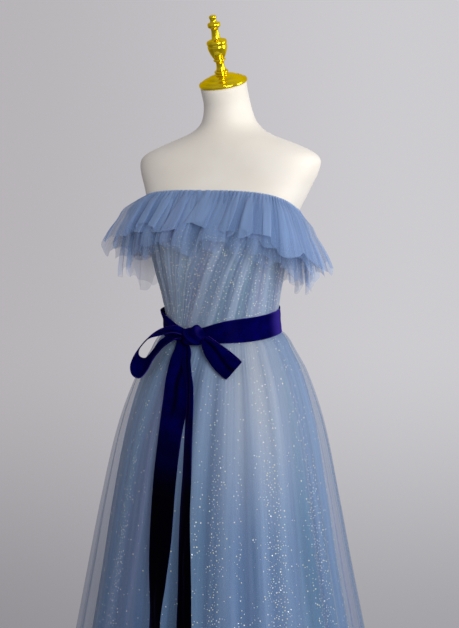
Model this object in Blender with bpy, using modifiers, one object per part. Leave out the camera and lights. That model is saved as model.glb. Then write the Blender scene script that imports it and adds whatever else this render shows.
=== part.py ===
"""A strapless tulle a-line gown with a two-tier ruffle, a glitter underskirt and a velvet sash,
on a limbless dress form with a turned cap and finial.

Metres, +Z up. The gown faces -Y and its left side is +X. The origin is on the floor, on the axis
of the stand. An angle of 0 is the centre front, 90 degrees is the gown's left side seam and 180
degrees is the centre back.
"""

import math
from collections import namedtuple

import bmesh
import bpy
from mathutils import Quaternion, Vector

MM = 0.001

# A slow unevenness round a tube of cloth: its size, how often it comes round, and where it starts.
Ripple = namedtuple("Ripple", "size turns start")

# Heights above the floor.
HEM_Z = 0.013
SASH_BOTTOM_Z = 1.034
WAIST_SEAM_Z = 1.050
WAIST_Z = 1.064
SASH_TOP_Z = 1.082
BUST_Z = 1.245
NECKLINE_FRONT_Z = 1.336
SHOULDER_Z = 1.386
NECK_TOP_Z = 1.554

# The top edge falls from the centre front to the centre back.
NECKLINE_DROP = 0.085
NECKLINE_SWEEP = 1.25
# The waist, and the sash on it, rises from the centre front to the centre back.
WAIST_BACK_RISE = 0.026

# The sash's top edge dips where the knot gathers it, to the gown's right of the centre front.
SASH_DIP = 0.023
SASH_DIP_ANGLE = math.radians(-12)
SASH_DIP_SPREAD = math.radians(27)

# Cloth walls, and the clear space between one piece and the next.
SEAM_GAP = 0.3 * MM
CLOTH_CLEARANCE = 0.6 * MM
BODICE_WALL = 1.4 * MM
SKIRT_WALL = 1.5 * MM
RUFFLE_WALL = 1.6 * MM
SASH_WALL = 2.2 * MM
RIBBON_WALL = 2.0 * MM

# Columns round each tube and folds in it.
FORM_COLUMNS = 32
BODICE_PLEATS = 24
COLUMNS_PER_PLEAT = 3
SKIRT_FOLDS = 24
COLUMNS_PER_FOLD = 4
RUFFLE_WAVES = 32
COLUMNS_PER_WAVE = 3
SASH_COLUMNS = 48
SASH_ROWS = (0.0, 0.35, 0.67, 1.0)

# The dress form and every cloth ring that lies on it: distances from the axis, the corner
# squareness of the section (2 is an ellipse), and the forward tilt of its plane in degrees.
BodySection = namedtuple("BodySection", "height half_width front back squareness tilt")
BODY_SECTIONS = (
    BodySection(NECK_TOP_Z, 0.0475, 0.0430, 0.0460, 2.0, 19),
    BodySection(1.515, 0.0475, 0.0300, 0.0630, 2.0, 14),
    BodySection(1.478, 0.0570, 0.0310, 0.0790, 2.0, 6),
    BodySection(1.455, 0.0850, 0.0380, 0.0930, 2.0, 0),
    BodySection(1.428, 0.1580, 0.0480, 0.1020, 2.1, 0),
    BodySection(1.408, 0.1960, 0.0520, 0.1020, 2.5, 0),
    BodySection(SHOULDER_Z, 0.1995, 0.0590, 0.1030, 2.7, 0),
    BodySection(1.336, 0.1790, 0.0770, 0.1000, 2.6, 0),
    BodySection(1.290, 0.1590, 0.1010, 0.0970, 2.5, 0),
    BodySection(BUST_Z, 0.1480, 0.1220, 0.0920, 2.35, 0),
    BodySection(1.180, 0.1350, 0.1150, 0.0840, 2.25, 0),
    BodySection(1.110, 0.1220, 0.0970, 0.0780, 2.2, 0),
    BodySection(1.060, 0.1175, 0.0910, 0.0780, 2.2, 0),
    BodySection(1.000, 0.1300, 0.0970, 0.0880, 2.2, 0),
    BodySection(0.930, 0.1450, 0.1040, 0.1010, 2.25, 0),
    BodySection(0.860, 0.1510, 0.1080, 0.1070, 2.3, 0),
    BodySection(0.800, 0.1450, 0.1020, 0.1000, 2.3, 0),
)
FORM_UPPER_RINGS = (NECK_TOP_Z, 1.53, 1.50, 1.478, 1.465, 1.452, 1.438, 1.424, 1.412, 1.402)
FORM_HIP_RINGS = (0.99, 0.94, 0.88, 0.82, 0.80)

# Rows of the bodice as shares of the way from the neckline to the top of the sash, with the
# depth of its pleats there. Two more rows lie under the sash.
BodiceRow = namedtuple("BodiceRow", "share pleat")
BODICE_ROWS = (
    BodiceRow(0.0, 0.4 * MM),
    BodiceRow(0.2, 2.0 * MM),
    BodiceRow(0.4, 3.0 * MM),
    BodiceRow(0.6, 3.0 * MM),
    BodiceRow(0.8, 2.4 * MM),
    BodiceRow(1.0, 1.0 * MM),
)
PLEAT_SLANT = math.radians(-24)
PLEAT_UNDER_SASH = 0.6 * MM
PLAIN_BESIDE_ZIP = math.radians(20)

# Free rings of the skirt overlay below the sash: mean half width and half depth, the middle of
# the ring from the axis, the depth of a fold either side of the mean, the space down to the
# underlayer, and the share of the waist's rise that the ring follows.
SkirtSection = namedtuple("SkirtSection", "height half_width half_depth middle fold layer_gap rise")
SKIRT_SECTIONS = (
    SkirtSection(1.005, 0.147, 0.117, -0.008, 0.003, 0.005, 0.8),
    SkirtSection(0.955, 0.171, 0.146, -0.007, 0.006, 0.008, 0.5),
    SkirtSection(0.850, 0.204, 0.184, -0.006, 0.010, 0.014, 0.2),
    SkirtSection(0.550, 0.267, 0.253, -0.006, 0.016, 0.024, 0.0),
    SkirtSection(HEM_Z, 0.376, 0.366, 0.0, 0.024, 0.034, 0.0),
)
FOLD_WANDER = (Ripple(0.7, 4, 0.0), Ripple(0.5, 8, 0.0))
FOLD_SWELL = (Ripple(0.22, 4, math.pi / 2),)
FOLD_MEAN_SIZE = 0.78
SKIRT_TOP_WALL = 1.2 * MM
UNDERLAYER_HEM_RISE = 0.008
UNDERLAYER_FOLD_SHARE = 0.8

# Rows of the ruffle by their fall from the neckline at the centre front. The lower tier reaches
# out from the bodice, less at the front and back than at the sides, and the upper tier stands
# off it by the gap. wave is the depth of a wave either side of the mean.
RuffleRow = namedtuple("RuffleRow", "fall front_reach side_reach front_gap side_gap wave")
RUFFLE_ROWS = (
    RuffleRow(0.0, 0.0, 0.0, 0.0005, 0.0005, 0.0),
    RuffleRow(0.020, 0.003, 0.026, 0.0015, 0.0160, 0.0016),
    RuffleRow(0.050, 0.007, 0.043, 0.0040, 0.0340, 0.0036),
    RuffleRow(0.078, 0.011, 0.050, 0.0070, 0.0460, 0.0056),
    RuffleRow(0.115, 0.016, 0.054, 0.0, 0.0, 0.0076),
)
UPPER_TIER_ROWS = 4
WAVE_WANDER = (Ripple(0.5, 3, 0.6), Ripple(0.35, 7, 2.0))
WAVE_SWELL = (Ripple(0.25, 5, 1.1),)
RUFFLE_LAP = 3.0 * MM
RUFFLE_SIDE_STRETCH = 0.45
RUFFLE_FORWARD_SHARE = 0.2
RUFFLE_BACK_OPENING = 0.020

# Centre-back zip.
ZIP_CHAIN_WIDTH = 4.0 * MM
ZIP_CHAIN_WALL = 1.8 * MM
SLIDER_FALL = 0.012
SLIDER_SIZE = Vector((0.0066, 0.0040, 0.0090))
SLIDER_PLATE = 1.4 * MM
SLIDER_EAR = 1.2 * MM
TAB_THICKNESS = 1.2 * MM
TAB_NECK_WIDTH = 3.4 * MM
TAB_WIDTH = 6.0 * MM
TAB_LENGTH = 26.0 * MM
TAB_OVER_HINGE = 0.8 * MM
TAB_NECK_BELOW_SLIDER = 1.0 * MM
TAB_SHOULDER = 3.0 * MM
TAB_CORNER = 2.0 * MM
HINGE_ABOVE_PLATE = 1.5 * MM
HINGE_FROM_SLIDER_TOP = 3.0 * MM

# The knot, and the ribbon's loops as stations from the knot's middle: to the gown's left, up and
# forward, with the ribbon's width and how far its front edge drops, in degrees.
KNOT_SIZE = Vector((0.046, 0.030, 0.038))
KNOT_SQUARING = 0.75
KNOT_MIDDLE_X = -0.005
KNOT_MIDDLE_Z = 1.050
LoopStation = namedtuple("LoopStation", "side rise forward width drop")
LEFT_LOOP = (
    LoopStation(-0.0229, 0.005, 0.000, 0.018, 0),
    LoopStation(-0.0380, 0.016, 0.008, 0.026, 0),
    LoopStation(-0.0600, 0.017, 0.014, 0.034, 5),
    LoopStation(-0.0850, 0.003, 0.018, 0.040, 12),
    LoopStation(-0.1080, -0.022, 0.020, 0.042, 22),
    LoopStation(-0.1220, -0.048, 0.021, 0.042, 35),
    LoopStation(-0.1190, -0.068, 0.021, 0.042, 45),
    LoopStation(-0.1030, -0.073, 0.021, 0.042, 42),
    LoopStation(-0.0860, -0.056, 0.020, 0.040, 34),
    LoopStation(-0.0710, -0.032, 0.017, 0.036, 22),
    LoopStation(-0.0530, -0.014, 0.012, 0.030, 12),
    LoopStation(-0.0360, -0.005, 0.006, 0.024, 4),
    LoopStation(-0.0229, -0.005, 0.000, 0.018, 0),
)
RIGHT_LOOP = (
    LoopStation(0.0277, -0.003, 0.008, 0.016, 0),
    LoopStation(0.0470, -0.018, 0.018, 0.034, 0),
    LoopStation(0.0740, -0.038, 0.024, 0.046, 0),
    LoopStation(0.0985, -0.055, 0.026, 0.049, 0),
    LoopStation(0.1040, -0.059, 0.022, 0.049, 0),
    LoopStation(0.0985, -0.055, 0.018, 0.049, 0),
    LoopStation(0.0740, -0.038, 0.015, 0.046, 0),
    LoopStation(0.0470, -0.018, 0.008, 0.032, 0),
    LoopStation(0.0277, -0.003, -0.002, 0.016, 0),
)
LEFT_LOOP_ACROSS = Vector((0.0, -1.0, 0.0))
RIGHT_LOOP_ACROSS = Vector((0.68, 0.0, 0.733))

# The tails hang over the front of the skirt. edge is where the side of the ribbon nearer the
# gown's right lies, and turn swings its other side forward, in degrees.
TailStation = namedtuple("TailStation", "height edge width turn")
LEFT_TAIL = (
    TailStation(1.040, -0.0450, 0.016, 0),
    TailStation(1.020, -0.0520, 0.026, 0),
    TailStation(1.002, -0.0530, 0.034, 0),
    TailStation(0.960, -0.0490, 0.045, 0),
    TailStation(0.918, -0.0420, 0.054, 0),
    TailStation(0.800, -0.0360, 0.055, -2),
    TailStation(0.682, -0.0280, 0.055, 11),
    TailStation(0.606, -0.0160, 0.055, 20),
    TailStation(0.506, 0.0000, 0.055, 44),
    TailStation(0.400, 0.0060, 0.055, 26),
    TailStation(0.260, 0.0100, 0.055, 10),
)
RIGHT_TAIL = (
    TailStation(1.0305, -0.0120, 0.016, 8),
    TailStation(1.010, -0.0100, 0.028, 25),
    TailStation(0.985, -0.0020, 0.040, 38),
    TailStation(0.960, 0.0080, 0.050, 46),
    TailStation(0.884, 0.0200, 0.055, 45),
    TailStation(0.804, 0.0300, 0.055, 47),
    TailStation(0.726, 0.0340, 0.055, 43),
    TailStation(0.610, 0.0420, 0.055, 35),
    TailStation(0.512, 0.0520, 0.055, 33),
    TailStation(0.400, 0.0600, 0.055, 18),
    TailStation(0.300, 0.0660, 0.055, 10),
)
TAIL_COLUMNS = 3
TAIL_CLEARANCE = 1.0 * MM
TAIL_END_SLANT = 0.030

# Turned cap and finial, as outlines of radius and height along their own axis.
Turn = namedtuple("Turn", "radius height")
CAP_OUTLINE = (
    Turn(0.0, 0.0275),
    Turn(0.0140, 0.0270),
    Turn(0.0145, 0.0230),
    Turn(0.0120, 0.0200),
    Turn(0.0250, 0.0165),
    Turn(0.0330, 0.0125),
    Turn(0.0400, 0.0110),
    Turn(0.0460, 0.0065),
    Turn(0.0495, 0.0050),
    Turn(0.0495, 0.0),
    Turn(0.0, 0.0),
)
FINIAL_OUTLINE = (
    Turn(0.0, 0.1120),
    Turn(0.0072, 0.1110),
    Turn(0.0078, 0.0980),
    Turn(0.0128, 0.0965),
    Turn(0.0128, 0.0880),
    Turn(0.0080, 0.0850),
    Turn(0.0085, 0.0640),
    Turn(0.0205, 0.0600),
    Turn(0.0200, 0.0500),
    Turn(0.0180, 0.0380),
    Turn(0.0110, 0.0240),
    Turn(0.0125, 0.0210),
    Turn(0.0085, 0.0170),
    Turn(0.0100, 0.0),
    Turn(0.0, 0.0),
)
POLE_RADIUS = 0.016
FLANGE_RADIUS = 0.050
FLANGE_HEIGHT = 0.008
FLANGE_CONE = 0.010
BASE_OUTLINE = (
    Turn(0.0, 0.0320),
    Turn(0.0300, 0.0320),
    Turn(0.0330, 0.0180),
    Turn(0.1140, 0.0150),
    Turn(0.1860, 0.0100),
    Turn(0.1900, 0.0060),
    Turn(0.1900, 0.0),
    Turn(0.0, 0.0),
)
TURNED_STEPS = 24

# (red, green, blue), roughness, metallic
CREAM = ((0.80, 0.74, 0.66), 0.75, 0.0)
GOLD = ((0.83, 0.62, 0.10), 0.18, 1.0)
RUFFLE_BLUE = ((0.15, 0.23, 0.43), 0.90, 0.0)
BODICE_BLUE = ((0.17, 0.23, 0.36), 0.80, 0.0)
TULLE_BLUE = ((0.25, 0.37, 0.54), 0.85, 0.0)
GLITTER_BLUE = ((0.20, 0.32, 0.50), 0.60, 0.0)
VELVET_NAVY = ((0.006, 0.002, 0.070), 0.95, 0.0)
ZIP_BLUE = ((0.12, 0.17, 0.30), 0.50, 0.0)


def blend(sections, height):
    """The section at a height, on a smooth curve through the rows of a table, highest first."""
    last = len(sections) - 1
    spans = zip(sections, sections[1:])
    below = next((i for i, (a, b) in enumerate(spans) if a.height >= height >= b.height), None)
    if below is None:
        return sections[0] if height > sections[0].height else sections[last]
    before, upper = sections[max(below - 1, 0)], sections[below]
    lower, after = sections[below + 1], sections[min(below + 2, last)]
    share = (height - upper.height) / (lower.height - upper.height)
    values = []
    for a, b, c, d in zip(before, upper, lower, after):
        linear = (c - a) * share + (2 * a - 5 * b + 4 * c - d) * share**2
        values.append(b + 0.5 * (linear + (3 * b - a - 3 * c + d) * share**3))
    return type(upper)(*values)


def between(low, high, share):
    return low + (high - low) * share


def rippled(ripples, angle):
    return sum(r.size * math.sin(r.turns * angle + r.start) for r in ripples)


def rounded_ring(angle, half_width, half_depth, squareness=2.0):
    """A point of a rounded section, x to the gown's left and y to its back."""
    power = 2 / squareness
    sine, cosine = math.sin(angle), math.cos(angle)
    x = half_width * math.copysign(abs(sine) ** power, sine)
    y = -half_depth * math.copysign(abs(cosine) ** power, cosine)
    return x, y


def body_point(angle, height):
    """The dress form's surface, on a ring whose middle is at this height."""
    section = blend(BODY_SECTIONS, height)
    half_depth = (section.front + section.back) / 2
    x, y = rounded_ring(angle, section.half_width, half_depth, section.squareness)
    rise = y * math.tan(math.radians(section.tilt))
    return Vector((x, y + (section.back - section.front) / 2, height + rise))


def outward(point_at, angle):
    """The horizontal direction away from a ring that point_at draws."""
    step = math.radians(1.5)
    along = point_at(angle + step) - point_at(angle - step)
    return Vector((along.y, -along.x, 0.0)).normalized()


def wrapped(angle, height, distance):
    """A point this far out from the dress form."""

    def ring(turn):
        return body_point(turn, height)

    return ring(angle) + distance * outward(ring, angle)


def neckline(angle):
    share = (1 - math.cos(angle)) / 2
    return NECKLINE_FRONT_Z - NECKLINE_DROP * share**NECKLINE_SWEEP


def waist_rise(angle):
    return WAIST_BACK_RISE * (1 - math.cos(angle)) / 2


def parts_collection(name):
    collection = bpy.data.collections.new(name)
    bpy.context.scene.collection.children.link(collection)
    return collection


def material(name, finish):
    colour, roughness, metallic = finish
    made = bpy.data.materials.get(name) or bpy.data.materials.new(name)
    made.use_nodes = True
    shader = made.node_tree.nodes["Principled BSDF"]
    shader.inputs["Base Color"].default_value = (*colour, 1.0)
    shader.inputs["Roughness"].default_value = roughness
    shader.inputs["Metallic"].default_value = metallic
    made.diffuse_color = (*colour, 1.0)
    return made


class Maker:
    """Puts each finished piece in the gown's collection."""

    def __init__(self, collection):
        self.collection = collection

    def place(self, name, data, finish, colour_name):
        piece = bpy.data.objects.new(name, data)
        data.materials.append(material(colour_name, finish))
        self.collection.objects.link(piece)
        return piece

    def mesh(self, name, points, faces, finish, colour_name):
        data = bpy.data.meshes.new(name)
        data.from_pydata(points, [], faces)
        shape = bmesh.new()
        shape.from_mesh(data)
        bmesh.ops.recalc_face_normals(shape, faces=shape.faces)
        shape.to_mesh(data)
        shape.free()
        data.shade_smooth()
        return self.place(name, data, finish, colour_name)

    def wall(self, name, outside, inside, finish, colour_name, ring=False):
        """A cloth wall between two grids of points, with rows running down and columns round."""
        rows, columns = len(outside), len(outside[0])
        points = [point for grid in (outside, inside) for row in grid for point in row]

        def at(side, row, column):
            return (side * rows + row) * columns + column % columns

        faces = []
        for column in range(columns if ring else columns - 1):
            after = column + 1
            for row in range(rows - 1):
                down = row + 1
                faces.append((at(0, row, column), at(0, down, column), at(0, down, after), at(0, row, after)))
                faces.append((at(1, row, column), at(1, row, after), at(1, down, after), at(1, down, column)))
            foot = rows - 1
            faces.append((at(0, 0, column), at(0, 0, after), at(1, 0, after), at(1, 0, column)))
            faces.append((at(1, foot, column), at(1, foot, after), at(0, foot, after), at(0, foot, column)))
        for row in range(0 if ring else rows - 1):
            down, end = row + 1, columns - 1
            faces.append((at(0, row, 0), at(1, row, 0), at(1, down, 0), at(0, down, 0)))
            faces.append((at(1, row, end), at(0, row, end), at(0, down, end), at(1, down, end)))
        return self.mesh(name, points, faces, finish, colour_name)

    def turned(self, name, outline, finish, colour_name):
        """A solid of revolution about its own Z axis, from an outline that runs down its outside."""
        data = bpy.data.meshes.new(name)
        points = [(turn.radius, 0.0, turn.height) for turn in outline]
        data.from_pydata(points, [(i, i + 1) for i in range(len(points) - 1)], [])
        piece = self.place(name, data, finish, colour_name)
        screw = piece.modifiers.new("Turn", "SCREW")
        screw.steps = TURNED_STEPS
        screw.render_steps = TURNED_STEPS
        screw.use_merge_vertices = True
        screw.merge_threshold = 0.00001
        screw.use_smooth_shade = True
        return piece

    def plate(self, name, outline, thickness, finish, colour_name):
        """A flat outline in X and Y, thickened evenly either side of its plane."""
        data = bpy.data.curves.new(name, "CURVE")
        data.dimensions = "2D"
        data.fill_mode = "BOTH"
        data.extrude = thickness / 2
        line = data.splines.new("POLY")
        line.points.add(len(outline) - 1)
        for point, (x, y) in zip(line.points, outline):
            point.co = (x, y, 0.0, 1.0)
        line.use_cyclic_u = True
        return self.place(name, data, finish, colour_name)


def ring_angles(columns):
    return [math.tau * column / columns for column in range(columns)]


def panel_angles(start, end, columns, start_gap, end_gap):
    """The columns from one seam to another, with its end columns moved in by these angles."""
    step = math.tau / columns
    inner = [start + step * i for i in range(1, round((end - start) / step))]
    return [start + start_gap, *inner, end - end_gap]


def seam_angle(height, angle=math.pi / 2):
    """Half the gap at a seam, as a turn about the axis."""
    return SEAM_GAP / 2 / body_point(angle, height).xy.length


# --- dress form and stand -----------------------------------------------------------------


def bodice_heights(angle):
    """Heights of the bodice's rows at this angle, from the neckline to the waist seam."""
    top, rise = neckline(angle), waist_rise(angle)
    rows = [between(top, SASH_TOP_Z + rise, row.share) for row in BODICE_ROWS]
    return [*rows, WAIST_Z + rise, WAIST_SEAM_Z + rise]


def form_heights(angle):
    """Heights of the form's rings at this angle. It shares the bodice's rows."""
    rows = bodice_heights(angle)
    return [
        *FORM_UPPER_RINGS,
        SHOULDER_Z,
        between(SHOULDER_Z, rows[0], 0.5),
        *rows,
        SASH_BOTTOM_Z + waist_rise(angle),
        *FORM_HIP_RINGS,
    ]


def make_dress_form(maker):
    angles = ring_angles(FORM_COLUMNS)
    columns = [[body_point(angle, height) for height in form_heights(angle)] for angle in angles]
    count = len(columns[0])
    points = [column[ring] for ring in range(count) for column in columns]
    faces = []
    for ring in range(count - 1):
        for column in range(FORM_COLUMNS):
            after = (column + 1) % FORM_COLUMNS
            top, foot = ring * FORM_COLUMNS, (ring + 1) * FORM_COLUMNS
            faces.append((top + column, foot + column, foot + after, top + after))
    faces.append(tuple(range(FORM_COLUMNS)))
    faces.append(tuple(range(len(points) - 1, len(points) - FORM_COLUMNS - 1, -1)))
    maker.mesh("dress_form", points, faces, CREAM, "form_cream")


def make_cap_and_finial(maker):
    section = BODY_SECTIONS[0]
    tilt = math.radians(section.tilt)
    axis = Vector((0.0, -math.sin(tilt), math.cos(tilt)))
    neck_top = Vector((0.0, (section.back - section.front) / 2, NECK_TOP_Z))
    cap = maker.turned("neck_cap", CAP_OUTLINE, GOLD, "gold")
    finial = maker.turned("finial", FINIAL_OUTLINE, GOLD, "gold")
    cap.location = neck_top + axis * SEAM_GAP
    finial.location = neck_top + axis * (CAP_OUTLINE[0].height + 2 * SEAM_GAP)
    for piece in (cap, finial):
        piece.rotation_euler.x = tilt


def make_stand(maker):
    hub_height = BASE_OUTLINE[0].height
    length = BODY_SECTIONS[-1].height - hub_height - 2 * SEAM_GAP
    flange_foot = length - FLANGE_HEIGHT
    pole = (
        Turn(0.0, length),
        Turn(FLANGE_RADIUS, length),
        Turn(FLANGE_RADIUS, flange_foot),
        Turn(POLE_RADIUS, flange_foot - FLANGE_CONE),
        Turn(POLE_RADIUS, 0.0),
        Turn(0.0, 0.0),
    )
    maker.turned("stand_base", BASE_OUTLINE, GOLD, "gold")
    made = maker.turned("stand_pole", pole, GOLD, "gold")
    made.location.z = hub_height + SEAM_GAP


# --- bodice and zip -----------------------------------------------------------------------


def pleat_rise(angle, depth):
    """How far a pleat lifts the bodice's outside. It dies out at the zip."""
    flat_back = min(1.0, (math.pi - abs(angle)) / PLAIN_BESIDE_ZIP)
    return depth * flat_back * (1 + math.cos(BODICE_PLEATS * angle)) / 2


def make_bodice_panel(maker, name, start, end, gaps, pleat_slant=0.0):
    columns = panel_angles(start, end, BODICE_PLEATS * COLUMNS_PER_PLEAT, *gaps)
    depths = [row.pleat for row in BODICE_ROWS] + [PLEAT_UNDER_SASH] * 2
    outside, inside = [], []
    for row, depth in enumerate(depths):
        share = row / (len(depths) - 1)
        outer_row, inner_row = [], []
        for angle in columns:
            slanted = angle + pleat_slant * (share - 0.5) * math.cos(angle) ** 2
            height = bodice_heights(slanted)[row]
            if row == len(depths) - 1:
                height += SEAM_GAP / 2
            rise = CLOTH_CLEARANCE + BODICE_WALL + pleat_rise(angle, depth)
            inner_row.append(wrapped(slanted, height, CLOTH_CLEARANCE))
            outer_row.append(wrapped(slanted, height, rise))
        outside.append(outer_row)
        inside.append(inner_row)
    maker.wall(name, outside, inside, BODICE_BLUE, "bodice_tulle")


def make_bodice(maker):
    side = seam_angle(WAIST_Z)
    centre_back = (ZIP_CHAIN_WIDTH / 2 + SEAM_GAP) / body_point(math.pi, WAIST_Z).y
    make_bodice_panel(maker, "bodice_front", -math.pi / 2, math.pi / 2, (side, side), PLEAT_SLANT)
    make_bodice_panel(maker, "bodice_back_left", math.pi / 2, math.pi, (side, centre_back))
    make_bodice_panel(maker, "bodice_back_right", -math.pi, -math.pi / 2, (centre_back, side))


def back_point(x, height, distance):
    """A point over the centre back, this far out from the form."""
    return Vector((x, wrapped(math.pi, height, distance).y, height))


def make_zip(maker):
    half = ZIP_CHAIN_WIDTH / 2
    heights = bodice_heights(math.pi)
    heights[-1] += SEAM_GAP / 2
    outside, inside = [], []
    for height in heights:
        outside.append([back_point(x, height, CLOTH_CLEARANCE + ZIP_CHAIN_WALL) for x in (half, -half)])
        inside.append([back_point(x, height, CLOTH_CLEARANCE) for x in (half, -half)])
    maker.wall("zip_chain", outside, inside, ZIP_BLUE, "zip_nylon")

    slider_top = heights[0] - SLIDER_FALL
    seat = back_point(0.0, slider_top, CLOTH_CLEARANCE + ZIP_CHAIN_WALL).y + SEAM_GAP
    width, depth, height = SLIDER_SIZE
    channel = width / 2 - SLIDER_EAR
    slider_outline = (
        (-width / 2, 0.0),
        (width / 2, 0.0),
        (width / 2, depth),
        (channel, depth),
        (channel, SLIDER_PLATE),
        (-channel, SLIDER_PLATE),
        (-channel, depth),
        (-width / 2, depth),
    )
    slider = maker.plate("zip_slider", slider_outline, height, ZIP_BLUE, "zip_metal")
    slider.location = (0.0, seat, slider_top - height / 2)

    hinge = Vector((0.0, seat + SLIDER_PLATE + HINGE_ABOVE_PLATE, slider_top - HINGE_FROM_SLIDER_TOP))
    neck_end = HINGE_FROM_SLIDER_TOP - height - TAB_NECK_BELOW_SLIDER
    shoulder = neck_end - TAB_SHOULDER
    neck, broad = TAB_NECK_WIDTH / 2, TAB_WIDTH / 2
    tab_outline = (
        (-neck, TAB_OVER_HINGE),
        (-neck, neck_end),
        (-broad, shoulder),
        (-broad, TAB_CORNER - TAB_LENGTH),
        (-broad + TAB_CORNER, -TAB_LENGTH),
        (broad - TAB_CORNER, -TAB_LENGTH),
        (broad, TAB_CORNER - TAB_LENGTH),
        (broad, shoulder),
        (neck, neck_end),
        (neck, TAB_OVER_HINGE),
    )
    tab = maker.plate("zip_pull_tab", tab_outline, TAB_THICKNESS, ZIP_BLUE, "zip_metal")
    tab.location = hinge
    tab.rotation_euler.x = math.pi / 2


# --- ruffle -------------------------------------------------------------------------------


def ruffle_point(angle, row, tier_share, rise):
    """A point of the ruffle: tier_share is 0 on the lower tier and 1 on the upper one."""
    sideways = math.sin(angle) ** 2 * (1 + RUFFLE_FORWARD_SHARE * math.cos(angle))
    fall = row.fall * (1 + RUFFLE_SIDE_STRETCH * sideways)
    height = neckline(angle) + RUFFLE_LAP - fall
    reach = between(row.front_reach, row.side_reach, sideways)
    gap = tier_share * (RUFFLE_WALL + between(row.front_gap, row.side_gap, sideways))
    crest = 1 + math.cos(RUFFLE_WAVES * angle + rippled(WAVE_WANDER, angle))
    wave = row.wave * (1 + rippled(WAVE_SWELL, angle)) * crest
    seat = CLOTH_CLEARANCE + BODICE_WALL + SEAM_GAP
    point = wrapped(angle, max(height, BUST_Z), seat + reach + wave + gap + rise)
    point.z = height
    return point


def make_ruffle_tier(maker, name, rows, tier_share):
    columns = RUFFLE_WAVES * COLUMNS_PER_WAVE
    half_opening = RUFFLE_BACK_OPENING / 2 / body_point(math.pi, neckline(math.pi)).y
    angles = panel_angles(-math.pi, math.pi, columns, half_opening, half_opening)
    sides = []
    for rise in (RUFFLE_WALL, 0.0):
        sides.append([[ruffle_point(angle, row, tier_share, rise) for angle in angles] for row in rows])
    maker.wall(name, *sides, RUFFLE_BLUE, "ruffle_tulle")


def make_ruffle(maker):
    make_ruffle_tier(maker, "ruffle_lower", RUFFLE_ROWS, 0.0)
    make_ruffle_tier(maker, "ruffle_upper", RUFFLE_ROWS[:UPPER_TIER_ROWS], 1.0)


# --- skirt --------------------------------------------------------------------------------


def fold_wave(angle):
    """Where a point of the skirt lies between the hollow (-1) and the crest (1) of a fold."""
    swell = FOLD_MEAN_SIZE + rippled(FOLD_SWELL, angle)
    return swell * math.cos(SKIRT_FOLDS * angle + rippled(FOLD_WANDER, angle))


def free_skirt_point(angle, section, inset, fold_share, rise):
    """A point of a skirt layer below the sash, where the cloth hangs free."""
    reach = section.fold * fold_share * fold_wave(angle) + rise - inset
    height = section.height + section.rise * waist_rise(angle)

    def ring(turn):
        x, y = rounded_ring(turn, section.half_width, section.half_depth)
        return Vector((x, y + section.middle, height))

    return ring(angle) + reach * outward(ring, angle)


def skirt_column(angle, seat, inset_share, fold_share, hem_rise, rise):
    """One side of a skirt layer at this angle, from the waist seam to the hem."""
    top, foot = WAIST_SEAM_Z - SEAM_GAP / 2, SASH_BOTTOM_Z
    distance = seat + min(rise, SKIRT_TOP_WALL)
    column = [wrapped(angle, height + waist_rise(angle), distance) for height in (top, foot)]
    for section in SKIRT_SECTIONS:
        inset = (section.layer_gap + SKIRT_WALL) * inset_share
        column.append(free_skirt_point(angle, section, inset, fold_share, rise))
    column[-1].z += hem_rise
    return column


def make_skirt_panel(maker, name, start, under, finish, colour_name):
    gap = seam_angle(WAIST_Z)
    columns = panel_angles(start, start + math.pi, SKIRT_FOLDS * COLUMNS_PER_FOLD, gap, gap)
    seat = CLOTH_CLEARANCE + (0.0 if under else SKIRT_TOP_WALL + 0.5 * MM)
    shape = (1.0, UNDERLAYER_FOLD_SHARE, UNDERLAYER_HEM_RISE) if under else (0.0, 1.0, 0.0)
    sides = []
    for rise in (SKIRT_WALL, 0.0):
        grid = [skirt_column(angle, seat, *shape, rise) for angle in columns]
        sides.append([list(row) for row in zip(*grid)])
    maker.wall(name, *sides, finish, colour_name)


def make_skirt(maker):
    for side, start in (("front", -math.pi / 2), ("back", math.pi / 2)):
        make_skirt_panel(maker, f"skirt_underlayer_{side}", start, True, GLITTER_BLUE, "glitter_tulle")
        make_skirt_panel(maker, f"skirt_overlay_{side}", start, False, TULLE_BLUE, "skirt_tulle")


# --- sash and bow -------------------------------------------------------------------------


def sash_seat():
    """Distance from the form to the inside of the sash."""
    return CLOTH_CLEARANCE + 2 * SKIRT_TOP_WALL + 1.4 * MM


def sash_top(angle):
    """The sash's top edge before the waist's rise, at an angle between minus and plus 180 degrees."""
    return SASH_TOP_Z - SASH_DIP * math.exp(-(((angle - SASH_DIP_ANGLE) / SASH_DIP_SPREAD) ** 2))


def make_sash(maker):
    outside, inside = [], []
    for share in SASH_ROWS:
        turns = []
        for angle in ring_angles(SASH_COLUMNS):
            near = math.remainder(angle, math.tau)
            turns.append((near, between(sash_top(near), SASH_BOTTOM_Z, share) + waist_rise(near)))
        inside.append([wrapped(*turn, sash_seat()) for turn in turns])
        outside.append([wrapped(*turn, sash_seat() + SASH_WALL) for turn in turns])
    maker.wall("sash_belt", outside, inside, VELVET_NAVY, "velvet", ring=True)


def knot_middle():
    """The middle of the knot, which lies against the front of the sash."""
    belt_front = wrapped(0.0, KNOT_MIDDLE_Z, sash_seat() + SASH_WALL).y
    return Vector((KNOT_MIDDLE_X, belt_front - KNOT_SIZE.y / 2 - SEAM_GAP, KNOT_MIDDLE_Z))


def make_knot(maker):
    data = bpy.data.meshes.new("bow_knot")
    shape = bmesh.new()
    bmesh.ops.create_uvsphere(shape, u_segments=14, v_segments=8, radius=0.5)
    for point in shape.verts:
        sizes = zip(point.co, KNOT_SIZE)
        point.co = [math.copysign(abs(2 * at) ** KNOT_SQUARING / 2 * size, at) for at, size in sizes]
    shape.to_mesh(data)
    shape.free()
    data.shade_smooth()
    knot = maker.place("bow_knot", data, VELVET_NAVY, "velvet")
    knot.location = knot_middle()


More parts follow.
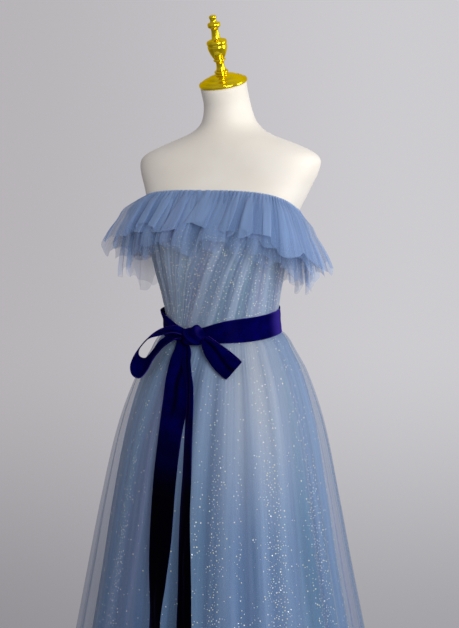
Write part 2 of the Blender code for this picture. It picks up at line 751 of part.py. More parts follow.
def make_loop(maker, name, stations, level_across):
    """A ribbon bent into a loop, from the direction of its width where no edge drops."""
    middles = [knot_middle() + Vector((s.side, -s.forward, s.rise)) for s in stations]
    outside, inside = [], []
    for i, (middle, station) in enumerate(zip(middles, stations)):
        across = Quaternion((1.0, 0.0, 0.0), math.radians(station.drop)) @ level_across
        along = middles[min(i + 1, len(middles) - 1)] - middles[max(i - 1, 0)]
        face = along.cross(across).normalized() * RIBBON_WALL / 2
        half = across * station.width / 2
        outside.append([middle + face - half, middle + face + half])
        inside.append([middle - face - half, middle - face + half])
    maker.wall(name, outside, inside, VELVET_NAVY, "velvet")


def skirt_front(x, height):
    """How far forward the crests of the overlay's folds reach beside the centre front."""
    rows = [(SASH_BOTTOM_Z, wrapped(0.0, SASH_BOTTOM_Z, sash_seat() + SASH_WALL).y)]
    for section in SKIRT_SECTIONS:
        reach = section.fold + SKIRT_WALL
        curve = math.sqrt(1 - (x / (section.half_width + reach)) ** 2)
        rows.append((section.height, section.middle - (section.half_depth + reach) * curve))
    for (upper, upper_y), (lower, lower_y) in zip(rows, rows[1:]):
        if height >= lower:
            return between(lower_y, upper_y, min(1.0, (height - lower) / (upper - lower)))
    return rows[-1][1]


def tail_row(station):
    """The back of a tail at one station, clear of the skirt and, higher up, below the knot."""
    turn = math.radians(station.turn)
    across = Vector((math.cos(turn), -math.sin(turn)))
    steps = [across * (station.width * i / (TAIL_COLUMNS - 1)) for i in range(TAIL_COLUMNS)]
    seat = min(skirt_front(station.edge + step.x, station.height) - step.y for step in steps)
    knot = knot_middle()
    share = (station.height - SKIRT_SECTIONS[0].height) / (knot.z - SKIRT_SECTIONS[0].height)
    seat = between(seat - TAIL_CLEARANCE, knot.y, min(max(share, 0.0), 1.0))
    return [Vector((station.edge + step.x, seat + step.y, station.height)) for step in steps]


def make_tail(maker, name, stations):
    top, foot = stations[0].height, stations[-1].height
    heights = {station.height for station in stations}
    heights.update(section.height for section in SKIRT_SECTIONS if foot < section.height < top)
    outside, inside = [], []
    for height in sorted(heights, reverse=True):
        station = blend(stations, height)
        turn = math.radians(station.turn)
        face = Vector((-math.sin(turn), -math.cos(turn), 0.0)) * RIBBON_WALL
        inside.append(tail_row(station))
        outside.append([point + face for point in inside[-1]])
    for row in (outside[-1], inside[-1]):
        for i, point in enumerate(row):
            point.z -= TAIL_END_SLANT * i / (TAIL_COLUMNS - 1)
    maker.wall(name, outside, inside, VELVET_NAVY, "velvet")


def make_bow(maker):
    make_knot(maker)
    make_loop(maker, "bow_loop_left", LEFT_LOOP, LEFT_LOOP_ACROSS)
    make_loop(maker, "bow_loop_right", RIGHT_LOOP, RIGHT_LOOP_ACROSS)
    make_tail(maker, "bow_tail_left", LEFT_TAIL)
    make_tail(maker, "bow_tail_right", RIGHT_TAIL)


def main():
    for leftover in list(bpy.data.objects):
        bpy.data.objects.remove(leftover)
    maker = Maker(parts_collection("tulle_gown_on_dress_form"))
    make_stand(maker)
    make_dress_form(maker)
    make_cap_and_finial(maker)
    make_bodice(maker)
    make_zip(maker)
    make_ruffle(maker)
    make_skirt(maker)
    make_sash(maker)
    make_bow(maker)


main()
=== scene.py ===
"""Looks of a strapless tulle a-line gown on a limbless dress form.

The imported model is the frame, and every piece here lies where its solid lies. An angle runs round
the axis of the stand: 0 is the centre front (-Y), 90 degrees the gown's left side seam (+X) and
180 degrees the centre back. Heights are metres above the floor.
"""

import logging
import math
from dataclasses import dataclass
from enum import Enum
from typing import Callable, Sequence

import bmesh
import bpy
import numpy as np
from mathutils import Matrix, Vector


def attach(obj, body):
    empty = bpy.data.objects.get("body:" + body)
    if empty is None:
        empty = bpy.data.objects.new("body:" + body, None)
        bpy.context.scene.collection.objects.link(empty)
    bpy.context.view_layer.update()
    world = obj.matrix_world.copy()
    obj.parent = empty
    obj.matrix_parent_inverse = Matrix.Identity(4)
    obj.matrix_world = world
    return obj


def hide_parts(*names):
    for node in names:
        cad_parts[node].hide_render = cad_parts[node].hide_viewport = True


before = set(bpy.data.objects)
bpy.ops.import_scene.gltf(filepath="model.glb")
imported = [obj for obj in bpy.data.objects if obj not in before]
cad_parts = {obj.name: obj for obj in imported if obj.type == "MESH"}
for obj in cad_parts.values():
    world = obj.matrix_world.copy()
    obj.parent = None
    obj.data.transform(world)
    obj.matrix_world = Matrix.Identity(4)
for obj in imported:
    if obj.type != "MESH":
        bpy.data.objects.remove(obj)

MM = 0.001
NET_PITCH = 1.7 * MM
Piece = bpy.types.Object
Material = bpy.types.Material
Colour = tuple[float, float, float]
Corner = tuple[float, float]
Array = np.ndarray
Numbers = Array | float
Entry = "Value | float"
Pair = tuple[Array, Array]
Rows = Sequence[Sequence[float]]
log = logging.getLogger("gown")


class Body(Enum):
    """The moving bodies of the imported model."""

    GOWN = "gown"
    ZIP_PULL = "zip_pull"


class Held(Enum):
    """How a sheet of cloth is held."""

    HUNG = "hung"
    GATHERED = "gathered"
    STRETCHED = "stretched"
    FOLDED = "folded"


@dataclass(frozen=True)
class Cut:
    """The cut of a sheet of cloth, before it was gathered, pleated or tied.

    Sizes are in metres. The area is given where the cut isn't a rectangle.
    """

    piece: str
    width: float
    length: float
    held: Held
    rests_on: tuple[str, ...]
    area: float | None = None

    def declare(self) -> None:
        """Does nothing; the cut is only listed here."""


# --- shader graphs ---


class Value:
    """A socket of a node tree that takes part in arithmetic."""

    def __init__(self, graph: "Graph", socket: bpy.types.NodeSocket) -> None:
        """Wraps a socket.

        Args:
            graph: The graph that new nodes go to.
            socket: The output that holds the value.
        """
        self.graph = graph
        self.socket = socket

    def _math(self, operation: str, first: Entry, second: Entry) -> "Value":
        """One Math node of two values."""
        return self.graph.node("ShaderNodeMath", {"operation": operation}, [first, second])

    def __add__(self, other: Entry) -> "Value":
        """The sum."""
        return self._math("ADD", self, other)

    def __sub__(self, other: Entry) -> "Value":
        """The difference."""
        return self._math("SUBTRACT", self, other)

    def __rsub__(self, other: Entry) -> "Value":
        """The difference from a number."""
        return self._math("SUBTRACT", other, self)

    def __mul__(self, other: Entry) -> "Value":
        """The product."""
        return self._math("MULTIPLY", self, other)

    def wave(self, pitch: float) -> "Value":
        """A sine from 0 to 1 with this pitch, in the value's own unit."""
        return self._math("SINE", self * (math.tau / pitch), 0.0) * 0.5 + 0.5

    def ramp(self, low: float, high: float) -> "Value":
        """A smooth step from 0 at low to 1 at high."""
        settings = {"interpolation_type": "SMOOTHSTEP"}
        return self.graph.node("ShaderNodeMapRange", settings, {"Value": self, 1: low, 2: high})


class Graph:
    """A node tree that Python expressions add to."""

    def __init__(self, owner: bpy.types.ID) -> None:
        """Empties a node tree.

        Args:
            owner: A material, world or node group.
        """
        self.owner = owner
        self.tree = getattr(owner, "node_tree", None) or owner
        self.tree.nodes.clear()

    @classmethod
    def shading(cls, kind: bpy.types.bpy_prop_collection, name: str) -> "Graph":
        """The empty graph of a new material or world.

        Args:
            kind: The collection of materials or of worlds.
            name: Its name.

        Returns:
            The graph.
        """
        owner = kind.new(name)
        owner.use_nodes = True
        return cls(owner)

    @classmethod
    def growing(cls, name: str, inputs: dict[str, str]) -> "Graph":
        """The empty graph of new Geometry Nodes.

        Args:
            name: Their name.
            inputs: The kind of each input's socket, by name.

        Returns:
            The graph.
        """
        group = bpy.data.node_groups.new(name, "GeometryNodeTree")
        for given, kind in {"Geometry": "Geometry", **inputs}.items():
            group.interface.new_socket(given, in_out="INPUT", socket_type=f"NodeSocket{kind}")
        group.interface.new_socket("Geometry", in_out="OUTPUT", socket_type="NodeSocketGeometry")
        return cls(group)

    def node(
        self,
        kind: str,
        settings: dict | None = None,
        inputs: list | dict | None = None,
        output: int | str = 0,
    ) -> "Value | None":
        """Adds one node.

        Args:
            kind: The node's type.
            settings: Its properties, which are set before its sockets.
            inputs: A list of values, or values by socket name or number.
            output: The output to hand back.

        Returns:
            The node's chosen output, or None where it has no outputs.
        """
        node = self.tree.nodes.new(kind)
        for name, setting in (settings or {}).items():
            setattr(node, name, setting)
        pairs = enumerate(inputs) if isinstance(inputs, list) else (inputs or {}).items()
        for key, given in pairs:
            if isinstance(given, Value):
                self.tree.links.new(given.socket, node.inputs[key])
            else:
                node.inputs[key].default_value = given
        return Value(self, node.outputs[output]) if node.outputs else None

    def given(self, name: str) -> Value:
        """An input of Geometry Nodes."""
        return self.node("NodeGroupInput", output=name)

    def parts(self, vector: Value) -> tuple[Value, ...]:
        """The three parts of a vector."""
        return tuple(self.node("ShaderNodeSeparateXYZ", {}, [vector], i) for i in range(3))

    def cloth(self) -> tuple[Value, ...]:
        """The cloth's own coordinates: metres across, metres down, and painted light from crest (1) to
        hollow (0).
        """
        return self.parts(self.node("ShaderNodeAttribute", {"attribute_name": "cloth"}, output="Vector"))

    def attribute(self, name: str) -> Value:
        """A number that the piece holds at each of its points."""
        return self.node("ShaderNodeAttribute", {"attribute_name": name}, output="Fac")

    def place(self) -> tuple[Value, ...]:
        """The place on the object, in metres."""
        return self.parts(self.node("ShaderNodeTexCoord", output="Object"))

    def vector(self, x: Entry, y: Entry, z: Entry = 0.0) -> Value:
        """A vector of three values."""
        return self.node("ShaderNodeCombineXYZ", {}, [x, y, z])

    def noise(self, where: Value, scale: float, detail: float = 3.0, roughness: float = 0.5) -> Value:
        """A noise from about 0.3 to 0.7, with features of one over scale metres."""
        inputs = {"Vector": where, "Scale": scale, "Detail": detail, "Roughness": roughness}
        return self.node("ShaderNodeTexNoise", {}, inputs)

    def mix(self, share: Entry, low: "Value | Colour", high: "Value | Colour") -> Value:
        """A colour between two others."""
        low, high = (c if isinstance(c, Value) else (*c, 1.0) for c in (low, high))
        return self.node("ShaderNodeMix", {"data_type": "RGBA"}, {0: share, 6: low, 7: high}, 2)

    def bump(self, height: Value, depth: float, strength: float = 1.0) -> Value:
        """A normal from a height of 0 to 1 that stands for this depth in metres."""
        inputs = {"Height": height, "Distance": depth, "Strength": strength}
        return self.node("ShaderNodeBump", {}, inputs)

    def principled(self, **sockets: "Entry | Colour") -> Material:
        """Ends the graph in a Principled shader.

        Args:
            **sockets: Values by socket name, with spaces written as underscores.

        Returns:
            The finished material.
        """
        inputs = {}
        for name, given in sockets.items():
            colour = isinstance(given, tuple)
            inputs[name.replace("_", " ")] = (*given, 1.0) if colour else given
        shader = self.node("ShaderNodeBsdfPrincipled", {}, inputs)
        self.node("ShaderNodeOutputMaterial", {}, {"Surface": shader})
        return self.owner


@dataclass(frozen=True)
class TulleFinish:
    """Fine net cloth, streaked along its fall where layers gather and part.

    A cover of 1 is opaque, the swing is how much it varies from streak to streak, the low shade is
    painted shade that darkens the cloth low down, and the haze shows only where the piece has it.
    """

    name: str
    deep: Colour
    pale: Colour
    lilac: Colour
    teal: Colour
    cover: float
    cover_swing: float = 0.10
    streak_pitch: float = 0.045
    streak_contrast: float = 1.0
    # how far crests are lit and hollows darkened, as painted light and shade
    painted_crest_shade: float = 0.35
    # painted shade low down, where less light reaches the cloth
    painted_low_shade: float = 0.0
    haze: float = 0.0
    haze_colour: Colour = (0.46, 0.49, 0.54)
    hem_fade: float = 0.0
    sparkle: float = 0.0

    BROAD_SHARE = 0.7
    STREAK_RUN = 0.035
    TINT_RUN = 0.05
    TINT_BAND = (0.56, 0.72)
    TINT_OFFSET = 7.0
    LILAC_SHARE = 0.55
    TEAL_SHARE = 0.5
    PAINTED_LOW_SHADE_FALL = (0.10, 0.62)
    HEM_FALL = (0.045, 0.120)
    GRAINS_PER_METRE = 700.0
    GRAIN_COLOUR = (0.85, 0.84, 0.72)
    THREAD_SWING = 0.24
    SOFT_CREASE = 1.2 * MM

    def material(self) -> Material:
        """Builds the material.

        Returns:
            The material, which follows the cloth's own coordinates.
        """
        graph = Graph.shading(bpy.data.materials, self.name)
        across, down, crest = graph.cloth()
        along_fall = graph.vector(across, down * self.STREAK_RUN)
        broad = graph.noise(along_fall, 1 / self.streak_pitch, 2.0).ramp(0.36, 0.64)
        fine = graph.noise(along_fall, 4.5 / self.streak_pitch, 3.0).ramp(0.30, 0.70)
        patches = graph.vector(across + self.TINT_OFFSET, down * self.TINT_RUN)
        tint = graph.noise(patches, 0.6 / self.streak_pitch, 1.0)
        streak = broad * self.BROAD_SHARE + fine * (1 - self.BROAD_SHARE)
        # painted light on the crests and painted shade in the hollows, over random streaks
        light = (streak - 0.5) * self.streak_contrast + (crest - 0.5) * self.painted_crest_shade + 0.5
        # painted shade: darker low down
        light = light - down.ramp(*self.PAINTED_LOW_SHADE_FALL) * self.painted_low_shade
        colour = graph.mix(light.ramp(0.0, 1.0), self.deep, self.pale)
        # the lilac tint shows only where the painted light is bright
        lilac = tint.ramp(*self.TINT_BAND) * light.ramp(0.05, 0.50) * self.LILAC_SHARE
        colour = graph.mix(lilac, colour, self.lilac)
        colour = graph.mix((1 - tint).ramp(*self.TINT_BAND) * self.TEAL_SHARE, colour, self.teal)
        if self.haze:
            veil = graph.attribute("haze") * (broad * 0.5 + 0.5)
            colour = graph.mix(veil * self.haze, colour, self.haze_colour)
        if self.sparkle:
            cells = {"Vector": graph.vector(across, down), "Scale": self.GRAINS_PER_METRE}
            grain = graph.node("ShaderNodeTexVoronoi", {}, cells)
            colour = graph.mix((1 - grain).ramp(0.72, 0.95) * self.sparkle, colour, self.GRAIN_COLOUR)
        net = (across + down).wave(NET_PITCH) * (across - down).wave(NET_PITCH)
        thread = 1.06 - net * self.THREAD_SWING
        cover = ((fine - 0.5) * self.cover_swing + self.cover) * thread
        if self.hem_fade:
            cover = cover * (1 - down.ramp(*self.HEM_FALL) * self.hem_fade)
        sockets = {"Alpha": cover} if self.cover < 1.0 else {}
        soft = graph.noise(graph.vector(across, down * 0.4), 60.0, 3.0)
        return graph.principled(
            Base_Color=colour,
            Roughness=0.85,
            Specular_IOR_Level=0.2,
            Sheen_Weight=0.25,
            Sheen_Roughness=0.5,
            Normal=graph.bump(fine * 0.3 + soft * 0.7, self.SOFT_CREASE, 0.25),
            **sockets,
        )


@dataclass(frozen=True)
class VelvetFinish:
    """Deep cut pile that is dark face on and glows where it turns away."""

    name: str = "navy_velvet"
    pile: Colour = (0.0002, 0.0001, 0.035)
    crushed: Colour = (0.0006, 0.0002, 0.070)
    glow: Colour = (0.16, 0.05, 0.90)
    # painted sheen on ribbon edges, the knot's ear and the sash's rubbed patches
    rim: Colour = (0.030, 0.018, 0.205)
    shadow: Colour = (0.0002, 0.0001, 0.0016)
    shadowed: tuple[float, float] = (0.74, 0.96)
    creased: tuple[float, float] = (0.55, 1.0)
    pile_depth: float = 0.5 * MM

    def material(self) -> Material:
        """Builds the material.

        Returns:
            The material, which is crushed along the nap and lost in shadow low down.
        """
        graph = Graph.shading(bpy.data.materials, self.name)
        across, down, crest = graph.cloth()
        where = graph.vector(across, down)
        nap = graph.noise(where, 28.0, 4.0, 0.6).ramp(0.35, 0.7)
        pile = graph.noise(where, 1500.0, 2.0)
        _, _, height = graph.place()
        colour = graph.mix(nap, self.pile, self.crushed)
        # painted sheen where the crest share is high, painted shade in creases where it is low
        colour = graph.mix(crest.ramp(*self.creased), colour, self.rim)
        colour = graph.mix((1 - crest).ramp(*self.creased), colour, self.shadow)
        return graph.principled(
            Base_Color=graph.mix(1 - height.ramp(*self.shadowed), colour, self.shadow),
            Roughness=nap * 0.15 + 0.75,
            Specular_IOR_Level=0.01,
            Sheen_Weight=0.30,
            Sheen_Roughness=0.18,
            Sheen_Tint=self.glow,
            Normal=graph.bump(pile * 0.7 + nap * 0.3, self.pile_depth, 0.5),
        )


@dataclass(frozen=True)
class FormFinish:
    """Matte cream jersey pulled tight over a padded form."""

    name: str = "cream_jersey"
    cream: Colour = (0.82, 0.780, 0.705)
    shade: Colour = (0.76, 0.715, 0.635)
    knit_pitch: float = 0.9 * MM
    knit_depth: float = 0.12 * MM

    def material(self) -> Material:
        """Builds the material.

        Returns:
            The material, with its knit and fuzz.
        """
        graph = Graph.shading(bpy.data.materials, self.name)
        x, y, z = graph.place()
        where = graph.vector(x, y, z)
        mottle = graph.noise(where, 9.0, 3.0).ramp(0.3, 0.75)
        knit = z.wave(self.knit_pitch) * (x + y).wave(self.knit_pitch)
        fuzz = graph.noise(where, 900.0, 2.0)
        return graph.principled(
            Base_Color=graph.mix(mottle, self.shade, self.cream),
            Roughness=mottle * 0.1 + 0.62,
            Specular_IOR_Level=0.35,
            Sheen_Weight=0.15,
            Normal=graph.bump(knit * 0.6 + fuzz * 0.4, self.knit_depth, 0.5),
        )


@dataclass(frozen=True)
class GoldFinish:
    """Bright yellow plating on a turned casting."""

    name: str = "yellow_gold_plate"
    bright: Colour = (0.95, 0.71, 0.020)
    patch_gold: Colour = (0.70, 0.46, 0.015)
    edge: Colour = (0.95, 0.78, 0.20)
    peel_depth: float = 0.10 * MM

    def material(self) -> Material:
        """Builds the material.

        Returns:
            The material, darker and rougher in random patches.
        """
        graph = Graph.shading(bpy.data.materials, self.name)
        x, y, z = graph.place()
        where = graph.vector(x, y, z)
        # random patches of darker, rougher gold
        dark_patches = graph.noise(where, 60.0, 4.0).ramp(0.45, 0.75)
        orange_peel = graph.noise(where, 350.0, 2.0)
        return graph.principled(
            Base_Color=graph.mix(dark_patches * 0.5, self.bright, self.patch_gold),
            Metallic=1.0,
            Specular_Tint=self.edge,
            Roughness=dark_patches * 0.10 + 0.14,
            Normal=graph.bump(orange_peel, self.peel_depth, 0.35),
        )


@dataclass(frozen=True)
class FlakeFinish:
    """Glitter flakes, which run from silver through gold to pale green, and glow as a painted glint."""

    name: str = "glitter_flakes"
    silver: Colour = (0.80, 0.82, 0.82)
    gold: Colour = (0.82, 0.76, 0.48)
    green: Colour = (0.55, 0.78, 0.62)
    # emission strength: a painted glint, the flakes glowing in their own colour
    glow: float = 0.34

    def material(self) -> Material:
        """Builds the material.

        Returns:
            The material, which follows the tint that each flake holds.
        """
        graph = Graph.shading(bpy.data.materials, self.name)
        tint = graph.attribute("tint")
        colour = graph.mix(tint.ramp(0.15, 0.50), self.silver, self.gold)
        colour = graph.mix(tint.ramp(0.80, 0.95), colour, self.green)
        return graph.principled(
            Base_Color=colour,
            Metallic=0.25,
            Roughness=tint * 0.2 + 0.25,
            Emission_Color=colour,
            Emission_Strength=self.glow,
        )


@dataclass(frozen=True)
class ZipFinish:
    """Dyed nylon or enamelled metal, in the blue of the cloth."""

    name: str
    colour: Colour = (0.12, 0.18, 0.32)
    scuffed: Colour = (0.20, 0.27, 0.42)
    roughness: float = 0.45
    metallic: float = 0.0
    grain_depth: float = 0.08 * MM

    def material(self) -> Material:
        """Builds the material.

        Returns:
            The material, scuffed in patches.
        """
        graph = Graph.shading(bpy.data.materials, self.name)
        x, y, z = graph.place()
        where = graph.vector(x, y, z)
        scuff = graph.noise(where, 400.0, 4.0).ramp(0.5, 0.75)
        return graph.principled(
            Base_Color=graph.mix(scuff, self.colour, self.scuffed),
            Metallic=self.metallic,
            Roughness=scuff * 0.2 + self.roughness,
            Normal=graph.bump(graph.noise(where, 1200.0, 2.0), self.grain_depth, 0.4),
        )


OVERLAY_TULLE = TulleFinish(
    "overlay_tulle",
    deep=(0.09, 0.155, 0.29),
    pale=(0.26, 0.38, 0.58),
    lilac=(0.27, 0.30, 0.53),
    teal=(0.12, 0.26, 0.40),
    cover=0.34,
    cover_swing=0.06,
    streak_contrast=0.26,
    painted_crest_shade=0.45,
    painted_low_shade=0.15,
    haze=0.75,
)
GLITTER_TULLE = TulleFinish(
    "glitter_tulle",
    deep=(0.07, 0.145, 0.305),
    pale=(0.315, 0.45, 0.67),
    lilac=(0.24, 0.28, 0.52),
    teal=(0.10, 0.26, 0.38),
    cover=0.88,
    cover_swing=0.06,
    streak_contrast=0.40,
    painted_crest_shade=0.65,
    painted_low_shade=0.28,
    haze=0.85,
    sparkle=0.25,
)
BODICE_TULLE = TulleFinish(
    "bodice_tulle",
    deep=(0.085, 0.135, 0.24),
    pale=(0.29, 0.37, 0.51),
    lilac=(0.24, 0.24, 0.37),
    teal=(0.12, 0.22, 0.31),
    cover=1.0,
    streak_pitch=0.022,
    streak_contrast=0.50,
    painted_crest_shade=0.18,
    sparkle=0.40,
)
RUFFLE_TULLE = TulleFinish(
    "ruffle_tulle",
    deep=(0.125, 0.21, 0.41),
    pale=(0.28, 0.42, 0.70),
    lilac=(0.27, 0.33, 0.59),
    teal=(0.16, 0.30, 0.52),
    cover=0.50,
    cover_swing=0.10,
    streak_pitch=0.030,
    streak_contrast=0.40,
    painted_crest_shade=0.62,
    hem_fade=0.60,
)


class Finishes:
    """Each finish as a material, made once."""

    def __init__(self) -> None:
        """Builds every material of the gown and its form."""
        self.overlay = OVERLAY_TULLE.material()
        self.glitter = GLITTER_TULLE.material()
        self.bodice = BODICE_TULLE.material()
        self.ruffle = RUFFLE_TULLE.material()
        self.velvet = VelvetFinish().material()
        self.form = FormFinish().material()
        self.gold = GoldFinish().material()
        self.flakes = FlakeFinish().material()
        self.zip_nylon = ZipFinish("zip_nylon").material()
        self.zip_metal = ZipFinish("zip_enamel", roughness=0.25, metallic=0.6).material()
        self.thread = ZipFinish("blue_thread", (0.13, 0.20, 0.38), (0.22, 0.31, 0.52), 0.7).material()


# --- meshes ---


@dataclass(frozen=True)
class Ripple:
    """A slow unevenness round a tube of cloth.

    Its start is an angle, and its turns say how often it repeats round the tube.
    """

    size: float
    turns: float
    start: float

    def at(self, angle: Array) -> Array:
        """The ripple's value at these angles."""
        return self.size * np.sin(self.turns * angle + self.start)


def rippled(ripples: Sequence[Ripple], angle: Array) -> Array:
    """The sum of several ripples."""
    return sum(ripple.at(angle) for ripple in ripples)


class Table:
    """Rows of named sizes, highest first, read at any height along a smooth curve."""

    def __init__(self, names: str, rows: Rows, true_slopes: bool = False) -> None:
        """Keeps the rows.

        Args:
            names: The columns' names, of which the first is the height.
            rows: The rows.
            true_slopes: Whether slopes take the rows' uneven spacing into account, as no kink may show.
        """
        self.names = names.split()
        self.rows = np.array(rows, float)
        self.true_slopes = true_slopes

    def at(self, height: Array) -> dict[str, Array]:
        """Every column at these heights.

        Args:
            height: Heights, of any shape.

        Returns:
            Arrays of the same shape, by column name.
        """
        tops = self.rows[:, 0]
        last = len(tops) - 1
        height = np.clip(height, tops[-1], tops[0])
        above = np.clip(np.searchsorted(-tops, -height, side="right") - 1, 0, last - 1)
        before, upper = self.rows[np.maximum(above - 1, 0)], self.rows[above]
        lower, after = self.rows[above + 1], self.rows[np.minimum(above + 2, last)]
        span = lower[..., :1] - upper[..., :1]
        share = (height[..., None] - upper[..., :1]) / span
        leaving, arriving = (lower - before) / 2, (after - upper) / 2
        if self.true_slopes:
            leaving = leaving * 2 * span / (lower - before)[..., :1]
            arriving = arriving * 2 * span / (after - upper)[..., :1]
        bend = 3 * (lower - upper) - 2 * leaving - arriving
        turn = 2 * (upper - lower) + leaving + arriving
        values = upper + leaving * share + bend * share**2 + turn * share**3
        return {name: values[..., i] for i, name in enumerate(self.names)}


def mixed(low: Numbers, high: Numbers, share: Numbers) -> Numbers:
    """A value between two others."""
    return low + (high - low) * share


def bell(away: Numbers) -> Numbers:
    """A soft bump, from 1 in its middle to about a third one width away."""
    return np.exp(-(away**2))


def apart(first: Numbers, second: Numbers, turn: float = math.tau) -> Numbers:
    """How far the first angle lies from the second, the short way round a full turn."""
    return (first - second + turn / 2) % turn - turn / 2


def smoothed(share: Array) -> Array:
    """A smooth step of values from 0 to 1."""
    share = np.clip(share, 0.0, 1.0)
    return share * share * (3 - 2 * share)


def stacked(x: Numbers, y: Numbers, z: Numbers) -> Array:
    """Points from three arrays."""
    return np.stack(np.broadcast_arrays(x, y, z), axis=-1)


def unit(vectors: Array) -> Array:
    """Vectors of length 1."""
    return vectors / np.maximum(np.linalg.norm(vectors, axis=-1, keepdims=True), 1e-12)


def ring_xy(angle: Numbers, half_width: Numbers, half_depth: Numbers, squareness: Numbers = 2.0) -> Pair:
    """A rounded section.

    Args:
        angle: Where, round the section.
        half_width: Half its width.
        half_depth: Half its depth.
        squareness: 2 for an ellipse, and more for a section with fuller corners.

    Returns:
        X, which runs to the gown's left, and Y, which runs to its back.
    """
    power = 2 / squareness
    sine, cosine = np.sin(angle), np.cos(angle)
    x = half_width * np.sign(sine) * np.abs(sine) ** power
    y = -half_depth * np.sign(cosine) * np.abs(cosine) ** power
    return x, y


def outward_of(point_at: Callable[[Array], Array], angle: Array) -> Array:
    """The horizontal direction away from a ring.

    Args:
        point_at: Gives the ring's point at an angle.
        angle: Where, round the ring.

    Returns:
        Directions of length 1.
    """
    step = math.radians(1.5)
    along = point_at(angle + step) - point_at(angle - step)
    return unit(stacked(along[..., 1], -along[..., 0], np.zeros(along.shape[:-1])))


def surface(
    name: str, points: Array, cloth: Array | None = None, ring: bool = False
) -> Piece:
    """A mesh over a grid of points, with rows running down and columns to the gown's left.

    Args:
        name: The object's name.
        points: Places, of shape rows, columns, 3.
        cloth: The cloth's own coordinates at each point, or None.
        ring: Whether the last column joins the first.

    Returns:
        The object.
    """
    rows, columns = points.shape[:2]
    index = np.arange(rows * columns).reshape(rows, columns)
    here = index if ring else index[:, :-1]
    after = np.roll(index, -1, axis=1) if ring else index[:, 1:]
    faces = np.stack([here[:-1], here[1:], after[1:], after[:-1]], axis=-1).reshape(-1, 4)
    mesh = bpy.data.meshes.new(name)
    mesh.from_pydata(points.reshape(-1, 3).tolist(), [], faces.tolist())
    if cloth is not None:
        attribute = mesh.attributes.new("cloth", "FLOAT_VECTOR", "POINT")
        attribute.data.foreach_set("vector", cloth.reshape(-1, 3).astype(np.float32).ravel())
    mesh.shade_smooth()
    return placed(name, mesh)


def placed(name: str, data: bpy.types.ID) -> Piece:
    """Puts a mesh, lamp or camera in the scene, at the origin.

    Args:
        name: The object's name.
        data: What it shows.

    Returns:
        The object.
    """
    piece = bpy.data.objects.new(name, data)
    bpy.context.scene.collection.objects.link(piece)
    return piece


def close_ends(piece: Piece) -> None:
    """Closes a tube's two open rims, with its faces turned outwards.

    Args:
        piece: The tube.
    """
    shape = bmesh.new()
    shape.from_mesh(piece.data)
    rim = [edge for edge in shape.edges if edge.is_boundary]
    bmesh.ops.holes_fill(shape, edges=rim)
    bmesh.ops.recalc_face_normals(shape, faces=shape.faces)
    shape.to_mesh(piece.data)
    shape.free()


def thicken(piece: Piece, thickness: float, offset: float = -1.0) -> None:
    """Gives a surface a wall, with the mesh applied.

    Args:
        piece: The surface.
        thickness: The wall, in metres.
        offset: -1 lays the wall inside the surface and 1 outside it.
    """
    wall = piece.modifiers.new("Wall", "SOLIDIFY")
    wall.thickness = thickness
    wall.offset = offset
    wall.use_even_offset = True
    applied(piece)


def applied(piece: Piece) -> None:
    """Bakes a piece's modifiers into its mesh.

    Args:
        piece: The piece, which loses its modifiers.
    """
    graph = bpy.context.evaluated_depsgraph_get()
    mesh = bpy.data.meshes.new_from_object(piece.evaluated_get(graph))
    piece.modifiers.clear()
    old, piece.data = piece.data, mesh
    mesh.name = piece.name
    bpy.data.meshes.remove(old)


def finish_graph(graph: Graph, copies: Value, material: Material) -> None:
    """Ends Geometry Nodes: the copies become real, get their material and go out.

    Args:
        graph: The graph.
        copies: The instances.
        material: Their material.
    """
    real = graph.node("GeometryNodeRealizeInstances", {}, [copies])
    dressed = graph.node("GeometryNodeSetMaterial", {}, {"Geometry": real, "Material": material})
    graph.node("NodeGroupOutput", {}, [dressed])


def grown(carrier: Piece, graph: Graph, **inputs: float | Sequence[float]) -> None:
    """Runs Geometry Nodes on a carrier and keeps what they make as its mesh.

    Args:
        carrier: The piece whose mesh goes in.
        graph: The Geometry Nodes.
        **inputs: Their inputs, by name.
    """
    grow = carrier.modifiers.new("Grow", "NODES")
    grow.node_group = graph.tree
    sockets = [item for item in graph.tree.interface.items_tree if item.in_out == "INPUT"]
    for socket in sockets:
        if socket.name in inputs:
            grow[socket.identifier] = inputs[socket.name]
    applied(carrier)


def row_graph(name: str, material: Material) -> Graph:
    """Geometry Nodes that set small rounded blocks, such as teeth or stitches, along lines.

    Args:
        name: Their name.
        material: The blocks' material.

    Returns:
        The graph, with Pitch and Size as inputs: a block's size along the line, then off it.
    """
    graph = Graph.growing(name, {"Pitch": "Float", "Size": "Vector"})
    lines = graph.node("GeometryNodeMeshToCurve", {}, [graph.given("Geometry")])
    spaced = {"Curve": lines, "Length": graph.given("Pitch")}
    spots = graph.node("GeometryNodeResampleCurve", {"mode": "LENGTH"}, spaced)
    along = {"Vector": graph.node("GeometryNodeInputTangent")}
    facing = graph.node("FunctionNodeAlignRotationToVector", {"axis": "X", "pivot_axis": "AUTO"}, along)
    cube = graph.node("GeometryNodeMeshCube", {}, [graph.given("Size")])
    block = graph.node("GeometryNodeSubdivisionSurface", {}, {"Mesh": cube, "Level": 1})
    copies = {"Points": spots, "Instance": block, "Rotation": facing}
    finish_graph(graph, graph.node("GeometryNodeInstanceOnPoints", {}, copies), material)
    return graph


def lines_mesh(name: str, lines: Sequence[Array]) -> Piece:
    """A piece of loose edges.

    Args:
        name: The object's name.
        lines: The lines that they run along.

    Returns:
        The object.
    """
    points = np.concatenate(lines)
    edges, first = [], 0
    for line in lines:
        edges += [(first + i, first + i + 1) for i in range(len(line) - 1)]
        first += len(line)
    mesh = bpy.data.meshes.new(name)
    mesh.from_pydata(points.tolist(), edges, [])
    return placed(name, mesh)


